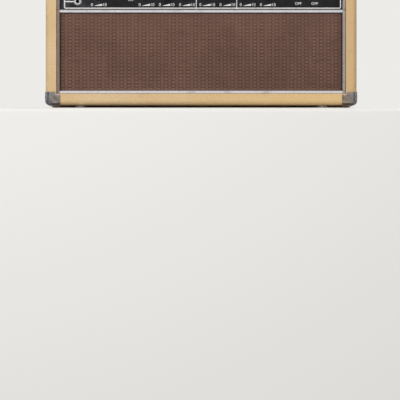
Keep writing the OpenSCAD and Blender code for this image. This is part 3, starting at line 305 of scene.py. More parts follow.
def vinyl_finish(name):
    """Tan vinyl: pebbled grain, slow drifts of colour, rubbed edges, grime and a few scuffs, with painted shade on
    the edges, foot and right side and painted light on the foot.
    """
    finish = new_finish(name, vinyl_colour, roughness=0.5)
    tree = finish.node_tree
    axes = axes_of(tree)
    mottle(finish, vinyl_warm_and_shade_colour, per_metre=7.0, share=0.6, between=(0.35, 0.7))
    # Painted shade: the vinyl turns darker and warmer towards the right side of the case.
    fade_in(finish, vinyl_warm_and_shade_colour, axes[0], case_low.x, case_high.x, share=0.6)
    edges = near_edges(tree, case_low, case_high, edge_width)
    # Painted shade: darker along the rounded outer edges.
    tint(finish, vinyl_grime_and_shade_colour, times(tree, edges, 0.22))
    # Painted shade: darker still along the foot.
    fade_in(finish, vinyl_grime_and_shade_colour, axes[2], case_low.z + edge_width / 2, case_low.z, share=0.5)
    rubbed = remap(tree, noise(tree, per_metre=60.0, detail=5.0), 0.55, 0.75, 0.0, 0.8)
    tint(finish, vinyl_rubbed_colour, times(tree, edges, rubbed))
    mottle(finish, vinyl_grime_and_shade_colour, per_metre=34.0, share=0.40, detail=6.0, between=(0.55, 0.85))
    # Painted light: a paler pool on the foot of the front, stronger towards the right.
    foot_light = remap(tree, axes[0], case_low.x / 2, case_high.x, 0.0, 0.6)
    for axis, reach in ((1, 2 * edge_width), (2, foot_light_height)):
        near = remap(tree, axes[axis], case_low[axis] + foot_light_blend * reach, case_low[axis] + reach)
        foot_light = times(tree, foot_light, near)
    tint(finish, vinyl_foot_light_colour, foot_light)
    scratches = remap(tree, noise(tree, per_metre=190.0, detail=3.0, stretch=(0.25, 1, 1)), 0.66, 0.72)
    scratched = remap(tree, noise(tree, per_metre=9.0, detail=1.0), 0.55, 0.7, 0.0, 0.45)
    tint(finish, vinyl_scuff_colour, times(tree, scratches, scratched))
    bend = noise(tree, vinyl_bend_per_metre, detail=1.0, output="Color")
    inputs = {0: bend, 1: (vinyl_bend, vinyl_bend, vinyl_bend), 2: coordinates(tree)}
    bent = add_node(tree, "ShaderNodeVectorMath", inputs, operation="MULTIPLY_ADD")[0]
    inputs = {"Vector": bent, "Scale": vinyl_grain_per_metre, "Smoothness": 0.25}
    middles = add_node(tree, "ShaderNodeTexVoronoi", inputs, feature="SMOOTH_F1")["Distance"]
    pebbles = remap(tree, middles, 0.62, 0.15)
    emboss(finish, pebbles, vinyl_grain_depth)
    emboss(finish, noise(tree, per_metre=420.0, detail=3.0), vinyl_grain_depth / 2)
    fade_in(finish, vinyl_grime_and_shade_colour, pebbles, 0.35, 0.0, share=0.25)
    roughen(finish, 0.42, 0.6, per_metre=30.0)
    return finish


dress(vinyl_finish("tan_vinyl"), "vinyl_covering")

# Corner protectors: eight pressed steel corners in dull nickel, with rounded rims. Each is held
# by a cross-head screw through its side leaf and another through its top or bottom leaf.
nickel_colour = (186, 188, 197)
nickel_reflection_colour = (188, 166, 142)
nickel_highlight_colour = (240, 236, 234)
nickel_dark_colour = (88, 78, 68)
nickel_bloom_colour = (204, 190, 174)
nickel_reflection_outer = 0.008
nickel_reflection_inner = 0.016
corner_rim = 0.0006
corner_shade_colour = (46, 40, 35)
corner_shade_reach = 0.010
corner_shade_top = 0.020
notch_middle = 0.2846
notch_middle_rise = 0.0324
notch_radius = 0.0060
notch_highlight_width = 0.0026
corner_screw_inset = 0.017
screw_colour = (178, 177, 174)
screw_radius = 0.0034
screw_dome = 0.0011
slot_length_share = 1.1
slot_width_share = 0.26
washer_top_share = 0.72
merge_distance = 0.000002


def mesh_of(name, shape):
    """Turns a bmesh into a mesh and frees it."""
    mesh = bpy.data.meshes.new(name)
    shape.to_mesh(mesh)
    shape.free()
    return mesh


def shaded(mesh, sharp_from):
    """Shades a mesh smooth, apart from edges that are sharper than this many degrees."""
    mesh.shade_smooth()
    mesh.set_sharp_from_angle(angle=math.radians(sharp_from))
    return mesh


def softened(node, width, segments=2):
    """A merged copy of a CAD node's mesh with its sharp edges rounded off."""
    shape = bmesh.new()
    shape.from_mesh(frame["nodes"][node].data)
    bmesh.ops.remove_doubles(shape, verts=shape.verts, dist=merge_distance)
    bmesh.ops.dissolve_limit(shape, angle_limit=math.radians(1), verts=shape.verts, edges=shape.edges)
    sharp = [edge for edge in shape.edges
             if len(edge.link_faces) == 2 and edge.calc_face_angle() > math.radians(35)]
    bmesh.ops.bevel(shape, geom=sharp, offset=width, segments=segments, profile=0.5,
                    affect="EDGES", clamp_overlap=True)
    return shaded(mesh_of(node + "_softened", shape), sharp_from=40)


def add_piece(name, mesh, finish, body="cabinet"):
    """A finished piece whose place is in its mesh. A grown mesh already has its finish."""
    if finish is not None:
        mesh.materials.clear()
        mesh.materials.append(finish)
    piece = bpy.data.objects.new(name, mesh)
    scene.collection.objects.link(piece)
    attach(piece, body)
    return piece


def new_tree(name, **inputs):
    """A geometry tree with named inputs, given by the kind of their sockets."""
    tree = bpy.data.node_groups.new(name, "GeometryNodeTree")
    tree.interface.new_socket("Geometry", in_out="OUTPUT", socket_type="NodeSocketGeometry")
    for label, kind in inputs.items():
        tree.interface.new_socket(label, in_out="INPUT", socket_type="NodeSocket" + kind)
    return tree, add_node(tree, "NodeGroupInput")


def combined(tree, x=0.0, y=0.0, z=0.0):
    return add_node(tree, "ShaderNodeCombineXYZ", {0: x, 1: y, 2: z})[0]


def transformed(tree, geometry, **changes):
    return add_node(tree, "GeometryNodeTransform", {"Geometry": geometry, **changes})[0]


def set_out(tree, points, instance, direction, axis):
    """Puts an instance on every point, with one of its axes turned along a direction."""
    turned = add_node(tree, "FunctionNodeAlignRotationToVector", {"Vector": direction}, axis=axis)[0]
    inputs = {"Points": points, "Instance": instance, "Rotation": turned}
    return add_node(tree, "GeometryNodeInstanceOnPoints", inputs)[0]


def end_tree(tree, geometry, finish):
    """Makes the instances real, sets their material and closes the tree."""
    real = add_node(tree, "GeometryNodeRealizeInstances", {"Geometry": geometry})[0]
    dressed = add_node(tree, "GeometryNodeSetMaterial", {"Geometry": real, "Material": finish})[0]
    add_node(tree, "NodeGroupOutput", {0: dressed})


def evaluated_mesh(carrier):
    """The plain mesh that an object's modifiers or letters come to."""
    return bpy.data.meshes.new_from_object(carrier.evaluated_get(bpy.context.evaluated_depsgraph_get()))


def grow(tree, start=None, **values):
    """Runs a geometry tree and returns the plain mesh that comes out."""
    carrier = bpy.data.objects.new(tree.name, start or bpy.data.meshes.new(tree.name))
    scene.collection.objects.link(carrier)
    modifier = carrier.modifiers.new("grow", "NODES")
    modifier.node_group = tree
    for item in tree.interface.items_tree:
        if item.name in values:
            modifier[item.identifier] = values[item.name]
    grown = evaluated_mesh(carrier)
    carrier.modifiers.remove(modifier)
    bpy.data.objects.remove(carrier)
    return grown


def aimed_points(places):
    """A mesh of loose points, each with the direction that it faces."""
    mesh = bpy.data.meshes.new("places")
    mesh.from_pydata([place for place, aim in places], [], [])
    aims = mesh.attributes.new("aim", "FLOAT_VECTOR", "POINT")
    for index, (place, aim) in enumerate(places):
        aims.data[index].vector = aim
    return mesh


def plated_finish(name, colour, roughness, dark=nickel_dark_colour, bloom=nickel_bloom_colour,
                  metallic=1.0):
    """Plated metal with cloudy patches, dark pits and an uneven polish."""
    finish = new_finish(name, colour, roughness, metallic)
    mottle(finish, bloom, per_metre=90.0, share=0.7, detail=4.0, between=(0.40, 0.75))
    mottle(finish, dark, per_metre=300.0, share=0.6, detail=6.0, between=(0.55, 0.85))
    roughen(finish, roughness - 0.06, roughness + 0.12, per_metre=220.0, detail=4.0)
    emboss(finish, noise(finish.node_tree, per_metre=700.0), depth=0.00003)
    return finish


screw_tree, screw_in = new_tree(
    "cross_head_screws", Points="Geometry", Radius="Float", Dome="Float", Washer="Float",
    Finish="Material")
head_radius = screw_in["Radius"]
head_dome = screw_in["Dome"]
head = add_node(screw_tree, "GeometryNodeMeshUVSphere", {"Segments": 20, "Rings": 10, "Radius": 1.0})[0]
head = transformed(screw_tree, head, Scale=combined(screw_tree, head_radius, head_radius, head_dome))
slot_length = times(screw_tree, head_radius, slot_length_share)
slot_width = times(screw_tree, head_radius, slot_width_share)
slots = []
for size in ((slot_length, slot_width), (slot_width, slot_length)):
    slot_size = combined(screw_tree, *size, head_dome)
    cutter = add_node(screw_tree, "GeometryNodeMeshCube", {"Size": slot_size})[0]
    slots.append(transformed(screw_tree, cutter, Translation=combined(screw_tree, z=head_dome)))
head = add_node(screw_tree, "GeometryNodeMeshBoolean", {"Mesh 1": head, "Mesh 2": slots},
                operation="DIFFERENCE")[0]
washer = add_node(screw_tree, "GeometryNodeMeshCone", {
    "Vertices": 28, "Radius Top": times(screw_tree, screw_in["Washer"], washer_top_share),
    "Radius Bottom": screw_in["Washer"], "Depth": head_dome})[0]
washer_drop = combined(screw_tree, z=times(screw_tree, head_dome, -0.5))
washer = transformed(screw_tree, washer, Translation=washer_drop)
screw = add_node(screw_tree, "GeometryNodeJoinGeometry", {0: [head, washer]})[0]
aim = add_node(screw_tree, "GeometryNodeInputNamedAttribute", {"Name": "aim"}, data_type="FLOAT_VECTOR")[0]
end_tree(screw_tree, set_out(screw_tree, screw_in["Points"], screw, aim, "Z"), screw_in["Finish"])
screw_steel = plated_finish("screw_steel", screw_colour, roughness=0.28)


def add_screws(name, places, radius, dome, washer=0.0):
    """A group of steel screws on the case, each at a point and facing a direction."""
    mesh = grow(screw_tree, aimed_points(places), Radius=radius, Dome=dome, Washer=washer,
                Finish=screw_steel)
    add_piece(name, shaded(mesh, sharp_from=35), None)


nickel = plated_finish("dull_nickel", nickel_colour, roughness=0.2)
nickel_tree = nickel.node_tree
nickel_axes = axes_of(nickel_tree)
corner_side = calculate(nickel_tree, "ABSOLUTE", nickel_axes[0])
# Painted reflection: a warm cast that grows towards the right of the case and towards the opening in each corner.
fade_in(nickel, nickel_reflection_colour, nickel_axes[0], case_low.x, case_high.x, share=0.35)
fade_in(nickel, nickel_reflection_colour, corner_side, case_high.x - nickel_reflection_outer,
        case_high.x - nickel_reflection_inner, share=0.6)
mottle(nickel, nickel_dark_colour, per_metre=130.0, share=0.45, between=(0.48, 0.66))
# Painted shade: the rounded edges of the lower corners darken towards the floor.
corner_shade = remap(nickel_tree, nickel_axes[2], corner_shade_top, case_low.z, 0.0, 0.9)
corner_edges = near_edges(nickel_tree, case_low, case_high, corner_shade_reach)
tint(nickel, corner_shade_colour, times(nickel_tree, corner_edges, corner_shade))
# Painted highlight: a bright rim round the notch of each front leaf.
notch_gaps = [calculate(nickel_tree, "SUBTRACT", corner_side, notch_middle),
              calculate(nickel_tree, "SUBTRACT", nickel_axes[2], notch_middle_rise)]
notch_squares = [times(nickel_tree, gap, gap) for gap in notch_gaps]
notch_distance = calculate(nickel_tree, "SQRT", calculate(nickel_tree, "ADD", *notch_squares))
fade_in(nickel, nickel_highlight_colour, notch_distance, notch_radius + notch_highlight_width, notch_radius, share=0.9)
corner_mesh = softened("corner_protectors", corner_rim, segments=3)
corners = add_piece("corner_caps", corner_mesh, nickel)
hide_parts("corner_protectors")
corner_box = list(zip(*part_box("corner_protectors")))
corner_places = []
for picks in product((0, 1), repeat=3):
    outer = [ends[pick] for ends, pick in zip(corner_box, picks)]
    aims = [2 * pick - 1 for pick in picks]
    inset = [edge - corner_screw_inset * aim for edge, aim in zip(outer, aims)]
    corner_places.append(((outer[0], inset[1], inset[2]), (aims[0], 0, 0)))
    corner_places.append(((inset[0], inset[1], outer[2]), (0, 0, aims[2])))
add_screws("corner_screws", corner_places, screw_radius, screw_dome)

# Glide feet: four nail-on steel domes under the bottom board. They are nickel plated, and dull and
# pitted from use.
glide_colour = (196, 194, 190)
dress(plated_finish("glide_nickel", glide_colour, roughness=0.22), "feet")

# Handle: a dark brown leather strap over a spring strip, stitched along both edges. Its ends run
# into pressed nickel caps, and each cap is screwed to the top board.
strap_colour = (78, 48, 31)
strap_worn_colour = (112, 74, 48)
strap_thread_colour = (196, 168, 124)
strap_creases_per_metre = 900.0
strap_crease_depth = 0.00012
strap_span = 0.210
strap_gap = 0.015
strap_end_gap = 0.004
strap_reach_share = 0.985
strap_side_power = 0.30
strap_crown_power = 0.62
strap_rings = 56
strap_ring_points = 28
stitch_inset = 0.0040
stitch_length = 0.0034
stitch_pitch = 0.0052
stitch_radius = 0.00042
cap_colour = (186, 185, 183)
cap_rim = 0.0006
cap_slope_length = 0.35
cap_slope_low = 0.75
cap_slope_high = 0.97
cap_screw_inset = 0.014
cap_screw_rise = 0.80
cap_screw_radius = 0.0036
cap_screw_dome = 0.0014
strap_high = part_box("handle_strap")[1]
strap_rise = strap_gap - strap_end_gap
strap_radius = ((strap_span / 2) ** 2 + strap_rise ** 2) / (2 * strap_rise)
strap_thickness = strap_high.z - case_high.z - strap_gap
strap_half_width = strap_high.y
strap_centre_z = case_high.z + strap_gap - strap_radius
strap_reach = math.asin(strap_high.x / (strap_radius + strap_thickness / 2)) * strap_reach_share


def strap_point(turn, across, height):
    """A point on the arched strap: across its width, and a height from the middle of its thickness."""
    radius = strap_radius + strap_thickness / 2 + height
    return (radius * math.sin(turn), across, strap_centre_z + radius * math.cos(turn))


def signed_power(value, power):
    return math.copysign(abs(value) ** power, value)


def faced_outwards(mesh, sharp_from=40):
    """Turns the faces of closed shells outwards and shades them by angle."""
    shape = bmesh.new()
    shape.from_mesh(mesh)
    bmesh.ops.remove_doubles(shape, verts=shape.verts, dist=merge_distance / 4)
    bmesh.ops.recalc_face_normals(shape, faces=shape.faces)
    shape.to_mesh(mesh)
    shape.free()
    return shaded(mesh, sharp_from)


def loft(name, rows):
    """A closed skin over rings of points, with its two ends filled."""
    count = len(rows[0])
    points = [point for row in rows for point in row]
    faces = [tuple(range(count)), tuple(range(len(points) - count, len(points)))]
    for start in range(0, len(points) - count, count):
        for index in range(count):
            after = (index + 1) % count
            faces.append((start + index, start + after, start + count + after, start + count + index))
    mesh = bpy.data.meshes.new(name)
    mesh.from_pydata(points, [], faces)
    return faced_outwards(mesh)


strap_rows = []
for ring in range(strap_rings + 1):
    turn = strap_reach * (2 * ring / strap_rings - 1)
    row = []
    for index in range(strap_ring_points):
        around = 2 * math.pi * index / strap_ring_points
        across = strap_half_width * signed_power(math.cos(around), strap_side_power)
        height = strap_thickness / 2 * signed_power(math.sin(around), strap_crown_power)
        row.append(strap_point(turn, across, height))
    strap_rows.append(row)
leather = new_finish("strap_leather", strap_colour, roughness=0.5)
leather_tree = leather.node_tree
mottle(leather, strap_worn_colour, per_metre=60.0, detail=4.0, between=(0.42, 0.72), stretch=(0.4, 1, 1))
leather_creases = add_node(leather_tree, "ShaderNodeTexVoronoi", {
    "Vector": coordinates(leather_tree, (0.7, 1, 1)), "Scale": strap_creases_per_metre},
    feature="DISTANCE_TO_EDGE")["Distance"]
emboss(leather, remap(leather_tree, leather_creases, 0.0, 0.12), strap_crease_depth)
roughen(leather, 0.38, 0.6, per_metre=80.0)
strap = add_piece("leather_strap", loft("leather_strap", strap_rows), leather)
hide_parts("handle_strap")

stitch_tree, stitch_in = new_tree(
    "stitches", Line="Geometry", Pitch="Float", Length="Float", Radius="Float", Finish="Material")
seam = add_node(stitch_tree, "GeometryNodeMeshToCurve", {"Mesh": stitch_in["Line"]})[0]
seam = add_node(stitch_tree, "GeometryNodeCurveToPoints", {
    "Curve": seam, "Length": stitch_in["Pitch"]}, mode="LENGTH")
stitch = add_node(stitch_tree, "GeometryNodeMeshUVSphere", {"Segments": 8, "Rings": 6, "Radius": 1.0})[0]
stitch_half = times(stitch_tree, stitch_in["Length"], 0.5)
stitch_size = combined(stitch_tree, stitch_half, stitch_in["Radius"], stitch_in["Radius"])
stitch = transformed(stitch_tree, stitch, Scale=stitch_size)
sewn = set_out(stitch_tree, seam["Points"], stitch, seam["Tangent"], "X")
end_tree(stitch_tree, sewn, stitch_in["Finish"])

thread = new_finish("waxed_thread", strap_thread_colour, roughness=0.6)
mottle(thread, strap_colour, per_metre=900.0, detail=2.0, between=(0.4, 0.7))
seam_across = strap_half_width - stitch_inset
seam_share = (seam_across / strap_half_width) ** (1 / strap_side_power)
seam_height = strap_thickness / 2 * math.sqrt(1 - seam_share ** 2) ** strap_crown_power
seam_turn = math.asin(strap_span / 2 / strap_radius)
seam_points = []
seam_edges = []
for across in (-seam_across, seam_across):
    for ring in range(strap_rings + 1):
        turn = seam_turn * (2 * ring / strap_rings - 1)
        if ring:
            seam_edges.append((len(seam_points) - 1, len(seam_points)))
        seam_points.append(strap_point(turn, across, seam_height))
seam_mesh = bpy.data.meshes.new("seams")
seam_mesh.from_pydata(seam_points, seam_edges, [])
stitches = grow(stitch_tree, seam_mesh, Pitch=stitch_pitch, Length=stitch_length, Radius=stitch_radius,
                Finish=thread)
stitches.shade_smooth()
add_piece("strap_stitches", stitches, None)

cap_nickel = plated_finish("cap_nickel", cap_colour, roughness=0.24)
caps = add_piece("strap_caps", softened("handle_caps", cap_rim), cap_nickel)
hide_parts("handle_caps")
cap_low, cap_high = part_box("handle_caps")
cap_length = cap_high.x - strap_span / 2
cap_height = cap_high.z - cap_low.z
cap_slope = math.atan2((cap_slope_high - cap_slope_low) * cap_height, cap_slope_length * cap_length)
cap_screw_z = cap_low.z + cap_screw_rise * cap_height
cap_places = [((side * (cap_high.x - cap_screw_inset), 0.0, cap_screw_z),
               (side * math.sin(cap_slope), 0.0, math.cos(cap_slope))) for side in (-1, 1)]
add_screws("cap_screws", cap_places, cap_screw_radius, cap_screw_dome)

# Grille cloth: a brown basket weave of thick yarn, stretched over the baffle and folded round its
# edges. The weft lies in short level dashes over every second warp, staggered from row to row.
cloth_colour = (103, 74, 63)
cloth_dark_colour = (66, 42, 33)
cloth_light_colour = (136, 103, 88)
# Colour of the painted shadow that the beads throw on the cloth, and where it lies.
cloth_shadow_colour = (40, 27, 19)
cloth_shadow_inner = 0.2780
cloth_shadow_outer = 0.2822
cloth_shadow_spread = 0.010
cloth_shadow_top_reach = 0.003
cloth_shadow_top_full = 0.001
bead_lap = 0.0032
bead_bounce_reach = 0.015
warp_pitch = 0.00740
weft_pitch = 0.00340
weave_relief = 0.00060
patches_per_metre = 40.0
slub_stretch = 0.12
strands = 3
strand_depth = 0.0003
fluff_per_metre = 3200.0
fluff_depth = 0.00015
warp_steps = 5
weft_steps = 4
cloth_fold = 0.009
fold_lift = 0.075
fold_pressed = 0.003
cloth_low, cloth_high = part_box("grille_cloth")
cloth_width = cloth_high.x - cloth_low.x
cloth_height = cloth_high.z - cloth_low.z
cloth_columns = round((cloth_width + 2 * cloth_fold) / warp_pitch * warp_steps) + 1
cloth_rows = round((cloth_height + 2 * cloth_fold) / weft_pitch * weft_steps) + 1
cloth_middle_z = (cloth_low.z + cloth_high.z) / 2
cloth_shadow_top = cloth_high.z - bead_lap


def yarn_wave(tree, along, pitch):
    """A sine that changes sign at every yarn."""
    return calculate(tree, "SINE", times(tree, along, math.pi / pitch))


weave_tree, weave_in = new_tree(
    "basket_weave", Width="Float", Height="Float", Fold="Float", Lift="Float", Relief="Float",
    Columns="Int", Rows="Int", Place="Vector", Finish="Material")
fold_both = times(weave_tree, weave_in["Fold"], 2.0)
flat_sheet = add_node(weave_tree, "GeometryNodeMeshGrid", {
    "Size X": calculate(weave_tree, "ADD", weave_in["Width"], fold_both),
    "Size Y": calculate(weave_tree, "ADD", weave_in["Height"], fold_both),
    "Vertices X": weave_in["Columns"], "Vertices Y": weave_in["Rows"]})[0]
spot = add_node(weave_tree, "GeometryNodeInputPosition")[0]
spot = add_node(weave_tree, "ShaderNodeSeparateXYZ", {0: spot})
warp_wave = yarn_wave(weave_tree, spot[0], warp_pitch)
weft_wave = yarn_wave(weave_tree, spot[1], weft_pitch)
weave_over = times(weave_tree, warp_wave, weft_wave)
pillow = calculate(weave_tree, "POWER", calculate(weave_tree, "ABSOLUTE", weave_over), 0.5)
pillow = times(weave_tree, pillow, remap(weave_tree, weave_over, -0.4, 0.4, 0.55, 1.0))
folded = []
turned_back = []
for axis, size in enumerate(("Width", "Height")):
    half = times(weave_tree, weave_in[size], 0.5)
    out = calculate(weave_tree, "ABSOLUTE", spot[axis])
    past = calculate(weave_tree, "MAXIMUM", calculate(weave_tree, "SUBTRACT", out, half), 0.0)
    held = calculate(weave_tree, "MINIMUM", out, half)
    lifted = calculate(weave_tree, "ADD", held, times(weave_tree, past, weave_in["Lift"]))
    folded.append(times(weave_tree, lifted, calculate(weave_tree, "SIGN", spot[axis])))
    turned_back.append(past)
fold_depth = calculate(weave_tree, "MAXIMUM", *turned_back)
pillow = times(weave_tree, pillow, remap(weave_tree, fold_depth, 0.0, fold_pressed, 1.0, 0.0))
depth = calculate(weave_tree, "SUBTRACT", fold_depth, times(weave_tree, pillow, weave_in["Relief"]))
bent = combined(weave_tree, folded[0], depth, folded[1])
woven = add_node(weave_tree, "GeometryNodeSetPosition", {"Geometry": flat_sheet, "Position": bent})[0]
end_tree(weave_tree, transformed(weave_tree, woven, Translation=weave_in["Place"]), weave_in["Finish"])

yarn = new_finish("brown_weave", cloth_colour, roughness=0.9, sockets={"Sheen Weight": 0.15})
yarn_tree = yarn.node_tree
yarn_axes = axes_of(yarn_tree)
yarn_side = calculate(yarn_tree, "ABSOLUTE", yarn_axes[0])
yarn_up = calculate(yarn_tree, "SUBTRACT", yarn_axes[2], cloth_middle_z)
warp_wave = yarn_wave(yarn_tree, yarn_axes[0], warp_pitch)
weft_wave = yarn_wave(yarn_tree, yarn_up, weft_pitch)
yarn_over = times(yarn_tree, warp_wave, weft_wave)
warp_gaps = calculate(yarn_tree, "ABSOLUTE", warp_wave)
patches = remap(yarn_tree, noise(yarn_tree, patches_per_metre, detail=3.0), 0.35, 0.65, 0.7, 1.2)
for value, start, end, share, colour in ((yarn_over, -0.1, 0.8, 0.44, cloth_light_colour),
                                         (yarn_over, 0.1, -0.8, 0.30, cloth_dark_colour),
                                         (warp_gaps, 0.65, 0.0, 0.80, cloth_dark_colour),
                                         (weft_wave, -0.6, 0.9, 0.27, cloth_light_colour)):
    tint(yarn, colour, times(yarn_tree, remap(yarn_tree, value, start, end, 0.0, share), patches))
for colour, pitch, share, stretch in ((cloth_light_colour, warp_pitch, 0.16, (1, 1, slub_stretch)),
                                      (cloth_dark_colour, weft_pitch, 0.34, (slub_stretch, 1, 1))):
    mottle(yarn, colour, 1 / pitch, share, detail=2.0, between=(0.50, 0.75), stretch=stretch)
mottle(yarn, cloth_dark_colour, per_metre=9.0, share=0.26, between=(0.4, 0.7))
# Painted light: the cloth grows lighter towards its top.
fade_in(yarn, cloth_light_colour, yarn_up, 0.0, cloth_height / 2, share=0.13)
# Painted light: the bottom bead's reflected light on the foot of the cloth.
fade_in(yarn, cloth_light_colour, yarn_axes[2], cloth_low.z + bead_bounce_reach, cloth_low.z + bead_lap,
        share=0.3)
# Painted shadow beside the upright beads and under the middle bead.
fade_in(yarn, cloth_shadow_colour, yarn_side, cloth_shadow_inner, cloth_shadow_outer, share=0.85)
fade_in(yarn, cloth_shadow_colour, yarn_side, cloth_shadow_inner - cloth_shadow_spread, cloth_shadow_outer, share=0.3)
fade_in(yarn, cloth_shadow_colour, yarn_axes[2], cloth_shadow_top - cloth_shadow_top_reach, cloth_shadow_top - cloth_shadow_top_full,
        share=0.7)
level_strands = yarn_wave(yarn_tree, yarn_up, weft_pitch / strands)
upright_strands = yarn_wave(yarn_tree, yarn_axes[0], warp_pitch / strands / 2)
strand = add_node(yarn_tree, "ShaderNodeMix", {
    0: remap(yarn_tree, yarn_over, -0.15, 0.15), 2: calculate(yarn_tree, "ABSOLUTE", upright_strands),
    3: calculate(yarn_tree, "ABSOLUTE", level_strands)})[0]
fade_in(yarn, cloth_dark_colour, strand, 0.5, 0.0, share=0.45)
mottle(yarn, cloth_light_colour, per_metre=700.0, share=0.3, stretch=(0.3, 1, 1))
emboss(yarn, strand, strand_depth)
emboss(yarn, noise(yarn_tree, fluff_per_metre), fluff_depth)
weave = grow(weave_tree, Width=cloth_width, Height=cloth_height, Fold=cloth_fold, Lift=fold_lift,
             Relief=weave_relief, Columns=cloth_columns, Rows=cloth_rows,
             Place=(0.0, cloth_low.y + weave_relief, cloth_middle_z), Finish=yarn)
weave.shade_smooth()
grille = add_piece("woven_grille", weave, None)
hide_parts("grille_cloth")

# Trim beads: half-round polished aluminium, mitred round the opening, with one more between the
# grille and the control panel. They are pinned to the baffle through the cloth.
bead_colour = (229, 229, 234)
bead_dark_colour = (160, 150, 140)
bead_upright_shade_colour = (146, 128, 110)
bead_upright_shade_blend = 0.001
bead_top_shade_colour = (112, 106, 102)
bead_grain = (0.2, 1, 0.2)
top_shade_rise = 1.75 * bead_lap
top_shade_outer = 0.75 * bead_lap
top_shade_inner = 0.25 * bead_lap
bead = new_finish("polished_bead", bead_colour, roughness=0.3, metallic=0.5)
bead_tree = bead.node_tree
bead_axes = axes_of(bead_tree)
bead_low, bead_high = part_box("trim_beads")
mottle(bead, bead_dark_colour, per_metre=220.0, share=0.5, detail=4.0, between=(0.55, 0.8),
       stretch=bead_grain)
# Painted shade: a darker band on the upper half of each level bead, which lowers its highlight.
for level, share in ((bead_low.z, 0.3), (cloth_shadow_top, 0.65), (bead_high.z - 2 * bead_lap, 0.65)):
    above = calculate(bead_tree, "SUBTRACT", bead_axes[2], level + top_shade_rise)
    from_line = calculate(bead_tree, "ABSOLUTE", above)
    fade_in(bead, bead_top_shade_colour, from_line, top_shade_outer, top_shade_inner, share)
# Painted shade: the upright beads are darker, the left one more than the right.
for side, share in ((-1, 0.9), (1, 0.6)):
    fade_in(bead, bead_upright_shade_colour, bead_axes[0], side * (cloth_shadow_outer - bead_upright_shade_blend),
            side * (cloth_shadow_outer + bead_upright_shade_blend), share)
roughen(bead, 0.24, 0.4, per_metre=300.0, stretch=bead_grain)
dress(bead, "trim_beads")

# Chassis: a folded aluminium tray with a rolled grain, hung from the top board by four bolts whose
# nickel heads show on top of the case.
chassis_colour = (188, 190, 192)
chassis_dark_colour = (120, 120, 122)
chassis_bloom_colour = (206, 207, 208)
chassis_metal = plated_finish("rolled_aluminium", chassis_colour, roughness=0.42,
                              dark=chassis_dark_colour, bloom=chassis_bloom_colour)
dress(chassis_metal, "chassis", "preamp_shields")
dress(cap_nickel, "chassis_bolts")

# Control panel: black anodised aluminium, hazy with wear round the input sockets and held by the nuts
# of the controls. Its white print is a frame line with two dividers, a line to each input socket, and
# a scale and an index for each knob.
panel_colour = (12, 11, 12)
panel_haze_colour = (60, 60, 70)
haze_left = -0.215
haze_right = -0.185
print_colour = (226, 226, 221)
print_worn_colour = (150, 148, 144)
print_thickness = 0.00016
branch_thickness = 1.2 * print_thickness
dot_thickness = 1.4 * print_thickness
line_width = 0.0022
thin_line_width = 0.0014
frame_left_inset = 0.0108
frame_right_inset = 0.0053
frame_rise = 0.0235
frame_drop = 0.0302
frame_radius = 0.0026
frame_arc_steps = 6
divider_dot_radius = 0.0019
scale_drop = 0.0234
letter_size = 1.4
scale_figure_height = 0.0062
scale_low_offset = 0.0122
scale_high_offset = 0.0132
wedge_half_length = 0.0085
wedge_height = 0.0042
socket_clearance = 0.0070
index_rise = 0.0165
index_half_width = 0.0016
index_height = 0.0036
small_word_height = 0.0046
small_word_offset = 0.0140
large_word_height = 0.00552
large_word_rise = 0.0175
large_word_drop = 0.0212
panel_low, panel_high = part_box("front_panel")
joint_places = {joint["child"]: Vector(joint["pos_m"]) for joint in frame["joints"]}
knob_names = ("volume", "treble", "middle", "bass", "level", "ratio", "master", "presence")
knob_places = {name: joint_places[name + "_control"] for name in knob_names}
mount_places = {mount["name"]: Vector(mount["pos_m"]) for mount in frame["record"]["mounts"]}
control_z = knob_places["volume"].z
frame_left = panel_low.x + frame_left_inset
frame_right = panel_high.x - frame_right_inset
frame_bottom = control_z - frame_drop
frame_top = control_z + frame_rise
scale_z = control_z - scale_drop
index_z = control_z + index_rise
divider_xs = [(knob_places[left].x + knob_places[right].x) / 2
              for left, right in (("bass", "level"), ("ratio", "master"))]

panel_black = new_finish("black_panel", panel_colour, roughness=0.38, sockets={"Specular IOR Level": 0.36})
panel_tree = panel_black.node_tree
panel_clouds = remap(panel_tree, noise(panel_tree, per_metre=45.0, detail=4.0), 0.35, 0.65, 0.25, 1.0)
panel_haze = remap(panel_tree, axes_of(panel_tree)[0], haze_left, haze_right, 0.85, 0.2)
tint(panel_black, panel_haze_colour, times(panel_tree, panel_clouds, panel_haze))
roughen(panel_black, 0.30, 0.5, per_metre=70.0, detail=4.0)
emboss(panel_black, noise(panel_tree, per_metre=1800.0, stretch=(0.1, 1, 1)), depth=0.00004)
dress(panel_black, "front_panel")
print_white = new_finish("print_white", print_colour, roughness=0.55)
mottle(print_white, print_worn_colour, per_metre=130.0, share=0.45, detail=4.0, between=(0.55, 0.8))


def plate(shape, outline, thickness=print_thickness):
    """Adds a thin plate to a bmesh: an outline in X and Y, standing on Z = 0."""
    foot = [shape.verts.new((x, y, 0.0)) for x, y in outline]
    face = [shape.verts.new((x, y, thickness)) for x, y in outline]
    shape.faces.new(face)
    shape.faces.new(foot[::-1])
    for index in range(len(outline)):
        after = (index + 1) % len(outline)
        shape.faces.new((foot[index], foot[after], face[after], face[index]))


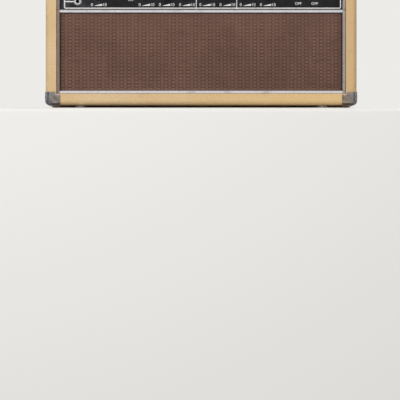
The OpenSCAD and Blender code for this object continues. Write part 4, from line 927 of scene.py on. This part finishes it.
def stroke(shape, points, width, closed=False, thickness=print_thickness):
    """Adds a printed line of even width along a path to a bmesh."""
    rails = []
    count = len(points)
    for index, point in enumerate(points):
        before = points[index - 1] if closed or index else point
        after = points[(index + 1) % count] if closed or index < count - 1 else point
        along = (Vector(after) - Vector(before)).normalized()
        across = Vector((-along.y, along.x)) * width / 2
        sides = [Vector(point) + side * across for side in (1, -1)]
        rails.append([shape.verts.new((*place, z)) for place in sides for z in (0.0, thickness)])
    for index in range(count if closed else count - 1):
        now, then = rails[index], rails[(index + 1) % count]
        for first, second in ((0, 1), (1, 3), (3, 2), (2, 0)):
            shape.faces.new((now[first], now[second], then[second], then[first]))
    if not closed:
        for ends in (rails[0], rails[-1]):
            shape.faces.new((ends[0], ends[1], ends[3], ends[2]))


def rounded_path(left, right, bottom, top, radius, steps):
    """The outline of a rectangle with rounded corners, anticlockwise."""
    path = []
    centres = ((right - radius, bottom + radius), (right - radius, top - radius),
               (left + radius, top - radius), (left + radius, bottom + radius))
    for quarter, (x, y) in enumerate(centres):
        for step in range(steps + 1):
            turn = math.radians(90 * (quarter - 1 + step / steps))
            path.append((x + radius * math.cos(turn), y + radius * math.sin(turn)))
    return path


def disc(x, y, radius, steps=20, phase=0.0):
    """The outline of a round spot, turned by a share of one step."""
    turns = [2 * math.pi * (step + phase) / steps for step in range(steps)]
    return [(x + radius * math.cos(turn), y + radius * math.sin(turn)) for turn in turns]


def figures(words, height, thickness):
    """A solid mesh of some figures, centred on the origin in X and Y."""
    curve = bpy.data.curves.new("figures", "FONT")
    curve.body = words
    curve.size = height * letter_size
    curve.extrude = thickness / 2
    curve.resolution_u = 5
    curve.align_x = "CENTER"
    curve.align_y = "CENTER"
    carrier = bpy.data.objects.new("figures", curve)
    scene.collection.objects.link(carrier)
    mesh = evaluated_mesh(carrier)
    bpy.data.objects.remove(carrier)
    bpy.data.curves.remove(curve)
    mesh.transform(Matrix.Translation((0, 0, thickness / 2)))
    return mesh


def gather(shape, mesh, place):
    """Adds a mesh at a place to a bmesh, and removes the mesh."""
    mesh.transform(place)
    shape.from_mesh(mesh)
    bpy.data.meshes.remove(mesh)


def write(shape, words, height, x, y):
    """Adds printed figures at a place to a bmesh."""
    gather(shape, figures(words, height, print_thickness), Matrix.Translation((x, y, 0)))


def printed_piece(name, shape, stand, body="cabinet"):
    """Stands a bmesh of print up on a panel and makes it a piece."""
    mesh = mesh_of(name, shape)
    mesh.transform(stand)
    add_piece(name, faced_outwards(mesh, sharp_from=20), print_white, body)


upright = Matrix.Rotation(math.radians(90), 4, "X")
front_stand = Matrix.Translation((0, panel_low.y, 0)) @ upright
lines = bmesh.new()
frame_path = rounded_path(frame_left, frame_right, frame_bottom, frame_top, frame_radius, frame_arc_steps)
stroke(lines, frame_path, line_width, closed=True)
for x in divider_xs:
    stroke(lines, [(x, frame_bottom), (x, frame_top)], thin_line_width, thickness=branch_thickness)
    for y in (frame_bottom, frame_top):
        plate(lines, disc(x, y, divider_dot_radius), dot_thickness)
for socket in ("input_lower", "input_upper"):
    place = mount_places[socket]
    branch = [(frame_left, place.z), (place.x - socket_clearance, place.z)]
    stroke(lines, branch, line_width, thickness=branch_thickness)
printed_piece("panel_lines", lines, front_stand)

scales = bmesh.new()
wedge_low = scale_z - wedge_height / 2
wedge_high = scale_z + wedge_height / 2
index_top = index_z + index_height
for place in knob_places.values():
    write(scales, "0", scale_figure_height, place.x - scale_low_offset, scale_z)
    write(scales, "10", scale_figure_height, place.x + scale_high_offset, scale_z)
    plate(scales, [(place.x - wedge_half_length, wedge_low), (place.x + wedge_half_length, wedge_low),
                   (place.x + wedge_half_length, wedge_high)])
    plate(scales, [(place.x, index_z), (place.x + index_half_width, index_top),
                   (place.x - index_half_width, index_top)])
for name in ("bright", "mid", "mode"):
    place = joint_places[name + "_toggle"]
    write(scales, "ON", small_word_height, place.x, place.z + small_word_offset)
mode_place = joint_places["mode_toggle"]
write(scales, "OFF", small_word_height, mode_place.x, mode_place.z - small_word_offset)
for name in ("standby", "power"):
    place = joint_places[name + "_toggle"]
    write(scales, "ON", large_word_height, place.x, place.z + large_word_rise)
    write(scales, "OFF", large_word_height, place.x, place.z - large_word_drop)
printed_piece("panel_scales", scales, front_stand)

# Knobs: skirted phenolic knobs, gloss black, with the figures 0 to 10 engraved round the skirt and
# filled in white, and a spun aluminium disc let into the top. Each turns with its steel shaft.
knob_colour = (24, 22, 21)
knob_dust_colour = (70, 64, 58)
shaft_colour = (186, 186, 186)
figure_height = 0.0030
figure_thickness = 0.0002
figure_count = 11
figure_step = 30.0
skirt_outer = 0.0145
skirt_inner = 0.0105
skirt_low = 0.0026
skirt_high = 0.0054
inlay_colour = (212, 212, 210)
inlay_dark_colour = (150, 150, 150)
inlay_radius = 0.0070
inlay_floor = 0.0175
inlay_face = 0.0004
inlay_crown = 0.0005
inlay_rim = 0.0007
inlay_rim_width = 0.0013
inlay_chamfer = 0.0003
inlay_steps = 40
spun_pitch = 0.00045
spun_depth = 0.00002
pole_radius = 0.0001

phenolic = new_finish("black_phenolic", knob_colour, roughness=0.24)
mottle(phenolic, knob_dust_colour, per_metre=400.0, share=0.5, detail=4.0, between=(0.6, 0.85))
roughen(phenolic, 0.16, 0.36, per_metre=260.0)
shaft_steel = plated_finish("shaft_steel", shaft_colour, roughness=0.3)
spun = new_finish("spun_aluminium", inlay_colour, roughness=0.26, metallic=1.0)
spun_tree = spun.node_tree
spun_radius = add_node(spun_tree, "ShaderNodeAttribute", attribute_name="radius")["Fac"]
spun_rings = calculate(spun_tree, "SINE", times(spun_tree, spun_radius, 2 * math.pi / spun_pitch))
fade_in(spun, inlay_dark_colour, spun_rings, -0.2, 1.0, share=0.4)
mottle(spun, inlay_dark_colour, per_metre=700.0, share=0.35, between=(0.5, 0.75))
roughen(spun, 0.2, 0.36, per_metre=500.0)
emboss(spun, spun_rings, spun_depth)


def turned_mesh(name, profile, steps):
    """A closed turned shape round Z from its outline, given as radius and height from pole to pole."""
    rows = [[(x, y, height) for x, y in disc(0.0, 0.0, radius, steps)] for radius, height in profile]
    return loft(name, rows)


inlay_inner = inlay_radius - inlay_rim_width
inlay_profile = [(pole_radius, 0.0), (inlay_radius, 0.0), (inlay_radius, inlay_face),
                 (inlay_radius - inlay_chamfer, inlay_rim), (inlay_inner + inlay_chamfer, inlay_rim),
                 (inlay_inner, inlay_face), (pole_radius, inlay_crown)]
skirt_slope = math.atan2(skirt_high - skirt_low, skirt_outer - skirt_inner)
skirt_middle = (skirt_outer + skirt_inner) / 2
skirt_middle_rise = (skirt_low + skirt_high) / 2
knob_figures = bmesh.new()
for number in range(figure_count):
    mesh = figures(str(number), figure_height, figure_thickness)
    middle_turn = math.radians(figure_step * ((figure_count - 1) / 2 - number))
    for vertex in mesh.vertices:
        across, outwards, lift = vertex.co
        turn = middle_turn + across / skirt_middle
        radius = skirt_middle + outwards * math.cos(skirt_slope) + lift * math.sin(skirt_slope)
        rise = skirt_middle_rise - outwards * math.sin(skirt_slope) + lift * math.cos(skirt_slope)
        vertex.co = (radius * math.sin(turn), radius * math.cos(turn), rise)
    gather(knob_figures, mesh, Matrix())
for name in knob_names:
    body = name + "_control"
    stand = Matrix.Translation(knob_places[name]) @ upright
    dress(phenolic, name + "_knob")
    dress(shaft_steel, name + "_shaft")
    printed_piece(name + "_figures", knob_figures.copy(), stand, body)
    inlay = turned_mesh(name + "_inlay", inlay_profile, inlay_steps)
    radii = inlay.attributes.new("radius", "FLOAT", "POINT")
    for vertex, radius in zip(inlay.vertices, radii.data):
        radius.value = math.hypot(vertex.co.x, vertex.co.y)
    inlay.transform(stand @ Matrix.Translation((0, 0, inlay_floor)))
    add_piece(name + "_inlay", inlay, spun, body)
knob_figures.free()

# Input sockets and potentiometers: nickel-plated necks and nuts through the panel. The throat of each
# socket is lined with a black sleeve, which paints the shade inside the bore.
socket_colour = (226, 226, 226)
throat_shade_colour = (14, 14, 14)
throat_outer = 0.0037
throat_inner = 0.0032
throat_lip = 0.00025
throat_depth = 0.0295
throat_wall = 0.00004
throat_steps = 32
socket_nickel = plated_finish("socket_nickel", socket_colour, roughness=0.22, metallic=0.5)
dress(socket_nickel, "input_jacks", "rear_jacks", "potentiometers")
# Painted shade: the black sleeve stands for the shade inside each bore.
throat_shade_black = new_finish("throat_shade_black", throat_shade_colour, roughness=0.45)
emboss(throat_shade_black, noise(throat_shade_black.node_tree, per_metre=900.0), depth=0.00005)
throat_bore = throat_inner + throat_wall
throat_end = -throat_depth - throat_wall
throat_profile = [(pole_radius, -throat_depth), (throat_inner, -throat_depth), (throat_inner, throat_lip),
                  (throat_outer, throat_lip), (throat_outer, 0.0), (throat_bore, 0.0),
                  (throat_bore, throat_end), (pole_radius, throat_end)]
front_face_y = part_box("input_jacks")[0].y
rear_face_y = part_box("rear_jacks")[1].y
throats = bmesh.new()
for socket, place in mount_places.items():
    if socket == "foot_rest":
        continue
    forward = place.y < 0
    mouth = Matrix.Translation((place.x, front_face_y if forward else rear_face_y, place.z))
    facing = Matrix.Rotation(0.0 if forward else math.pi, 4, "Z") @ upright
    gather(throats, turned_mesh("throat", throat_profile, throat_steps), mouth @ facing)
add_piece("socket_throats", mesh_of("socket_throats", throats), throat_shade_black)

# Toggle switches: threaded necks with hexagon nuts in the same nickel as the sockets. Each carries
# a bat lever in bright chrome.
chrome_colour = (214, 214, 214)
chrome_dark_colour = (150, 148, 146)
chrome_bloom_colour = (224, 223, 221)
lever_chrome = plated_finish("lever_chrome", chrome_colour, roughness=0.14,
                             dark=chrome_dark_colour, bloom=chrome_bloom_colour)
dress(socket_nickel, "toggle_switches")
dress(lever_chrome, "bright_lever", "mid_lever", "mode_lever", "standby_lever", "power_lever")

# Pilot light: a faceted red glass jewel, pressed into a turned nickel bezel. Its facets are
# staggered from level to level.
jewel_colour = (150, 8, 12)
jewel_bright_colour = (210, 30, 26)
jewel_facets = 12
jewel_levels = ((1.0, 0.0), (1.0, 0.46), (0.86, 0.66), (0.60, 0.86), (0.28, 0.97), (0.02, 1.0))
jewel_glass = new_finish("red_jewel", jewel_colour, roughness=0.08, sockets={"Coat Weight": 0.6})
mottle(jewel_glass, jewel_bright_colour, per_metre=300.0, share=0.6, detail=2.0, between=(0.4, 0.7))
dress(socket_nickel, "pilot_bezel")
dress(jewel_glass, "pilot_jewel")
jewel_low, jewel_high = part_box("pilot_jewel")
jewel_middle = (jewel_low + jewel_high) / 2
jewel_radius = (jewel_high.x - jewel_low.x) / 2
jewel_depth = jewel_high.y - jewel_low.y
jewel_rows = []
for level, (share, rise) in enumerate(jewel_levels):
    outline = disc(0.0, 0.0, jewel_radius * share, jewel_facets, 0.5 * (level % 2))
    jewel_rows.append([(x, y, jewel_depth * rise) for x, y in outline])
jewel_mesh = loft("faceted_jewel", jewel_rows)
jewel_mesh.shade_flat()
jewel_mesh.transform(Matrix.Translation((jewel_middle.x, jewel_high.y, jewel_middle.z)) @ upright)
jewel = add_piece("faceted_jewel", jewel_mesh, jewel_glass)
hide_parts("pilot_jewel")

# Rear panel: the same black aluminium, with white print, held by cross-head screws. It carries
# the mains inlet, the fuse, the load selector and two pairs of sockets.
bakelite_colour = (26, 25, 24)
rear_line_inset = 0.004
rear_line_rise = 0.008
rear_figure_height = 0.0050
selector_marks = (("4", 1), ("8", 0), ("16", -1))
selector_mark_radius = 0.0215
selector_mark_turn = 30.0
pair_line_drop = 0.0135
pair_figure_drop = 0.006
rear_screw_inset = 0.012
rear_screw_drop = 0.009
rear_screw_radius = 0.0030
rear_screw_dome = 0.0010
rear_low, rear_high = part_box("rear_panel")
rear_stand = Matrix.Translation((0, rear_high.y, 0)) @ Matrix.Rotation(math.pi, 4, "Z") @ upright
bakelite = new_finish("black_bakelite", bakelite_colour, roughness=0.34)
mottle(bakelite, knob_dust_colour, per_metre=500.0, share=0.4, between=(0.6, 0.85))
roughen(bakelite, 0.26, 0.45, per_metre=200.0)
dress(panel_black, "rear_panel")
dress(bakelite, "mains_inlet", "fuse_holder", "fuse_cap", "selector_knob")
dress(socket_nickel, "selector_switch")
rear_print = bmesh.new()
rear_path = rounded_path(rear_low.x + rear_line_inset, rear_high.x - rear_line_inset,
                         rear_low.z + rear_line_rise, rear_high.z - rear_line_inset,
                         frame_radius, frame_arc_steps)
stroke(rear_print, rear_path, thin_line_width, closed=True)
selector_place = joint_places["selector_control"]
for word, side in selector_marks:
    turn = math.radians(side * selector_mark_turn)
    write(rear_print, word, rear_figure_height, -selector_place.x - selector_mark_radius * math.sin(turn),
          selector_place.z + selector_mark_radius * math.cos(turn))
for pair in (("speaker_1", "speaker_2"), ("effects_return", "effects_send")):
    ends = sorted(-mount_places[socket].x for socket in pair)
    line_z = mount_places[pair[0]].z - pair_line_drop
    stroke(rear_print, [(x, line_z) for x in ends], thin_line_width)
    for number, x in enumerate(ends):
        write(rear_print, str(number + 1), rear_figure_height, x, line_z - pair_figure_drop)
printed_piece("rear_print", rear_print, rear_stand)
rear_screw_xs = (rear_low.x + rear_screw_inset, 0.0, rear_high.x - rear_screw_inset)
rear_places = [((x, rear_high.y, rear_high.z - rear_screw_drop), (0, 1, 0)) for x in rear_screw_xs]
add_screws("rear_panel_screws", rear_places, rear_screw_radius, rear_screw_dome)

# Back board: ply wrapped in the same vinyl, with its edges rolled, held by screws in cup washers.
# A black perforated steel screen covers the vent from inside.
back_edge = 0.0018
back_screw_inset = 0.011
back_screw_columns = 5
back_screw_radius = 0.0034
back_screw_dome = 0.0013
back_washer_radius = 0.0066
screen_colour = (32, 32, 33)
screen_dust_colour = (66, 62, 58)
back_vinyl = vinyl_finish("back_vinyl")
back = add_piece("wrapped_back", softened("back_panel", back_edge, segments=3), back_vinyl)
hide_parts("back_panel")
back_low, back_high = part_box("back_panel")
back_span = back_high.x - back_low.x - 2 * back_screw_inset
back_xs = [back_low.x + back_screw_inset + back_span * column / (back_screw_columns - 1)
           for column in range(back_screw_columns)]
back_middle_z = (back_low.z + back_high.z) / 2
back_rows = ((back_low.z + back_screw_inset, back_xs), (back_middle_z, (back_xs[0], back_xs[-1])),
             (back_high.z - back_screw_inset, back_xs))
back_places = [((x, back_high.y, z), (0, 1, 0)) for z, xs in back_rows for x in xs]
add_screws("back_screws", back_places, back_screw_radius, back_screw_dome,
           washer=back_washer_radius)
screen_black = new_finish("screen_black", screen_colour, roughness=0.45)
mottle(screen_black, screen_dust_colour, per_metre=140.0, share=0.5, detail=4.0)
roughen(screen_black, 0.35, 0.6, per_metre=90.0)
dress(screen_black, "vent_screen")

# Transformers and choke: black lacquer with dust on it, over stacks of thin steel sheets whose
# edges show as a fine ribbing.
lacquer_colour = (34, 33, 32)
lacquer_dust_colour = (84, 78, 70)
sheets_per_metre = 9000.0
sheet_depth = 0.0001
lacquer = new_finish("transformer_lacquer", lacquer_colour, roughness=0.5)
lacquer_tree = lacquer.node_tree
mottle(lacquer, lacquer_dust_colour, per_metre=80.0, share=0.5, detail=4.0)
sheets = calculate(lacquer_tree, "SINE", times(lacquer_tree, axes_of(lacquer_tree)[1], sheets_per_metre))
emboss(lacquer, sheets, sheet_depth)
dress(lacquer, "power_transformer", "output_transformer", "choke")

# Circuit parts: capacitor cans in blue sleeves, glazed ceramic valve sockets and a brown laminated
# board. They are hung from the chassis, inside the case.
sleeve_colour = (70, 92, 128)
sleeve_dark_colour = (40, 54, 78)
ceramic_colour = (222, 214, 196)
ceramic_stain_colour = (186, 172, 146)
board_colour = (132, 92, 52)
board_dark_colour = (98, 64, 34)
sleeve = new_finish("capacitor_sleeve", sleeve_colour, roughness=0.4)
mottle(sleeve, sleeve_dark_colour, per_metre=120.0, share=0.4)
dress(sleeve, "filter_capacitors")
ceramic = new_finish("glazed_ceramic", ceramic_colour, roughness=0.3)
mottle(ceramic, ceramic_stain_colour, per_metre=150.0, share=0.4)
dress(ceramic, "tube_sockets")
board = new_finish("board_laminate", board_colour, roughness=0.5)
mottle(board, board_dark_colour, per_metre=90.0, detail=4.0, between=(0.4, 0.8))
dress(board, "circuit_board")

# Power valves: clear glass on brown phenolic bases. Inside each hang a grey pressed plate, ribbed
# at three levels, and the silver getter that coats the end of the glass.
base_colour = (58, 36, 24)
base_worn_colour = (84, 56, 38)
glass_colour = (250, 250, 250)
glass_tint_colour = (222, 226, 220)
plate_colour = (52, 52, 54)
plate_pale_colour = (86, 84, 82)
getter_colour = (186, 184, 180)
getter_dark_colour = (120, 116, 110)
getter_bloom_colour = (206, 204, 200)
valve_count = 4
plate_top = 0.024
plate_height = 0.060
plate_squash = (1.15, 0.72, -1, 1)
plate_steps = 16
plate_levels = ((0.02, 0.0), (0.52, 0.0), (0.56, 0.02), (0.52, 0.04), (0.52, 0.30), (0.56, 0.32),
                (0.56, 0.36), (0.52, 0.38), (0.52, 0.62), (0.56, 0.64), (0.52, 0.66), (0.02, 0.66))
getter_gap = 0.0022
getter_steps = 24
getter_pole = 0.0002
getter_thickness = 0.0006
getter_levels = ((0.55, 0.0008), (0.80, 0.0040), (0.84, 0.0075), (0.80, 0.0078), (0.52, 0.0014))
base_brown = new_finish("valve_base_brown", base_colour, roughness=0.36)
mottle(base_brown, base_worn_colour, per_metre=200.0, detail=4.0)
dress(base_brown, "power_tube_bases")
valve_glass = new_finish("valve_glass", glass_colour, roughness=0.03,
                         sockets={"Transmission Weight": 1.0, "IOR": 1.47})
mottle(valve_glass, glass_tint_colour, per_metre=60.0, between=(0.4, 0.8))
dress(valve_glass, "power_tube_glass")
plate_grey = new_finish("carbon_plate", plate_colour, roughness=0.7, metallic=0.3)
mottle(plate_grey, plate_pale_colour, per_metre=300.0, between=(0.4, 0.8))
getter_silver = plated_finish("getter_silver", getter_colour, roughness=0.12,
                              dark=getter_dark_colour, bloom=getter_bloom_colour)
glass_low, glass_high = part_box("power_tube_glass")
valve_radius = (glass_high.y - glass_low.y) / 2
valve_pitch = (glass_high.x - glass_low.x - 2 * valve_radius) / (valve_count - 1)
valve_y = (glass_low.y + glass_high.y) / 2
plate_profile = [(valve_radius * share, plate_top + rise * plate_height) for share, rise in plate_levels]
getter_dome = [(valve_radius * share, rise) for share, rise in getter_levels]
getter_profile = [(getter_pole, 0.0), *getter_dome, (getter_pole, getter_thickness)]
plates = bmesh.new()
getters = bmesh.new()
for valve in range(valve_count):
    x = glass_low.x + valve_radius + valve * valve_pitch
    hung = Matrix.Translation((x, valve_y, glass_high.z)) @ Matrix.Diagonal(plate_squash)
    gather(plates, turned_mesh("plate", plate_profile, plate_steps), hung)
    end = Matrix.Translation((x, valve_y, glass_low.z + getter_gap))
    gather(getters, turned_mesh("getter", getter_profile, getter_steps), end)
for name, shape, finish, slot in (("valve_plates", plates, plate_grey, "valve_base"),
                                  ("valve_getters", getters, getter_silver, "valve_glass")):
    add_piece(name, faced_outwards(mesh_of(name, shape), sharp_from=30), finish)
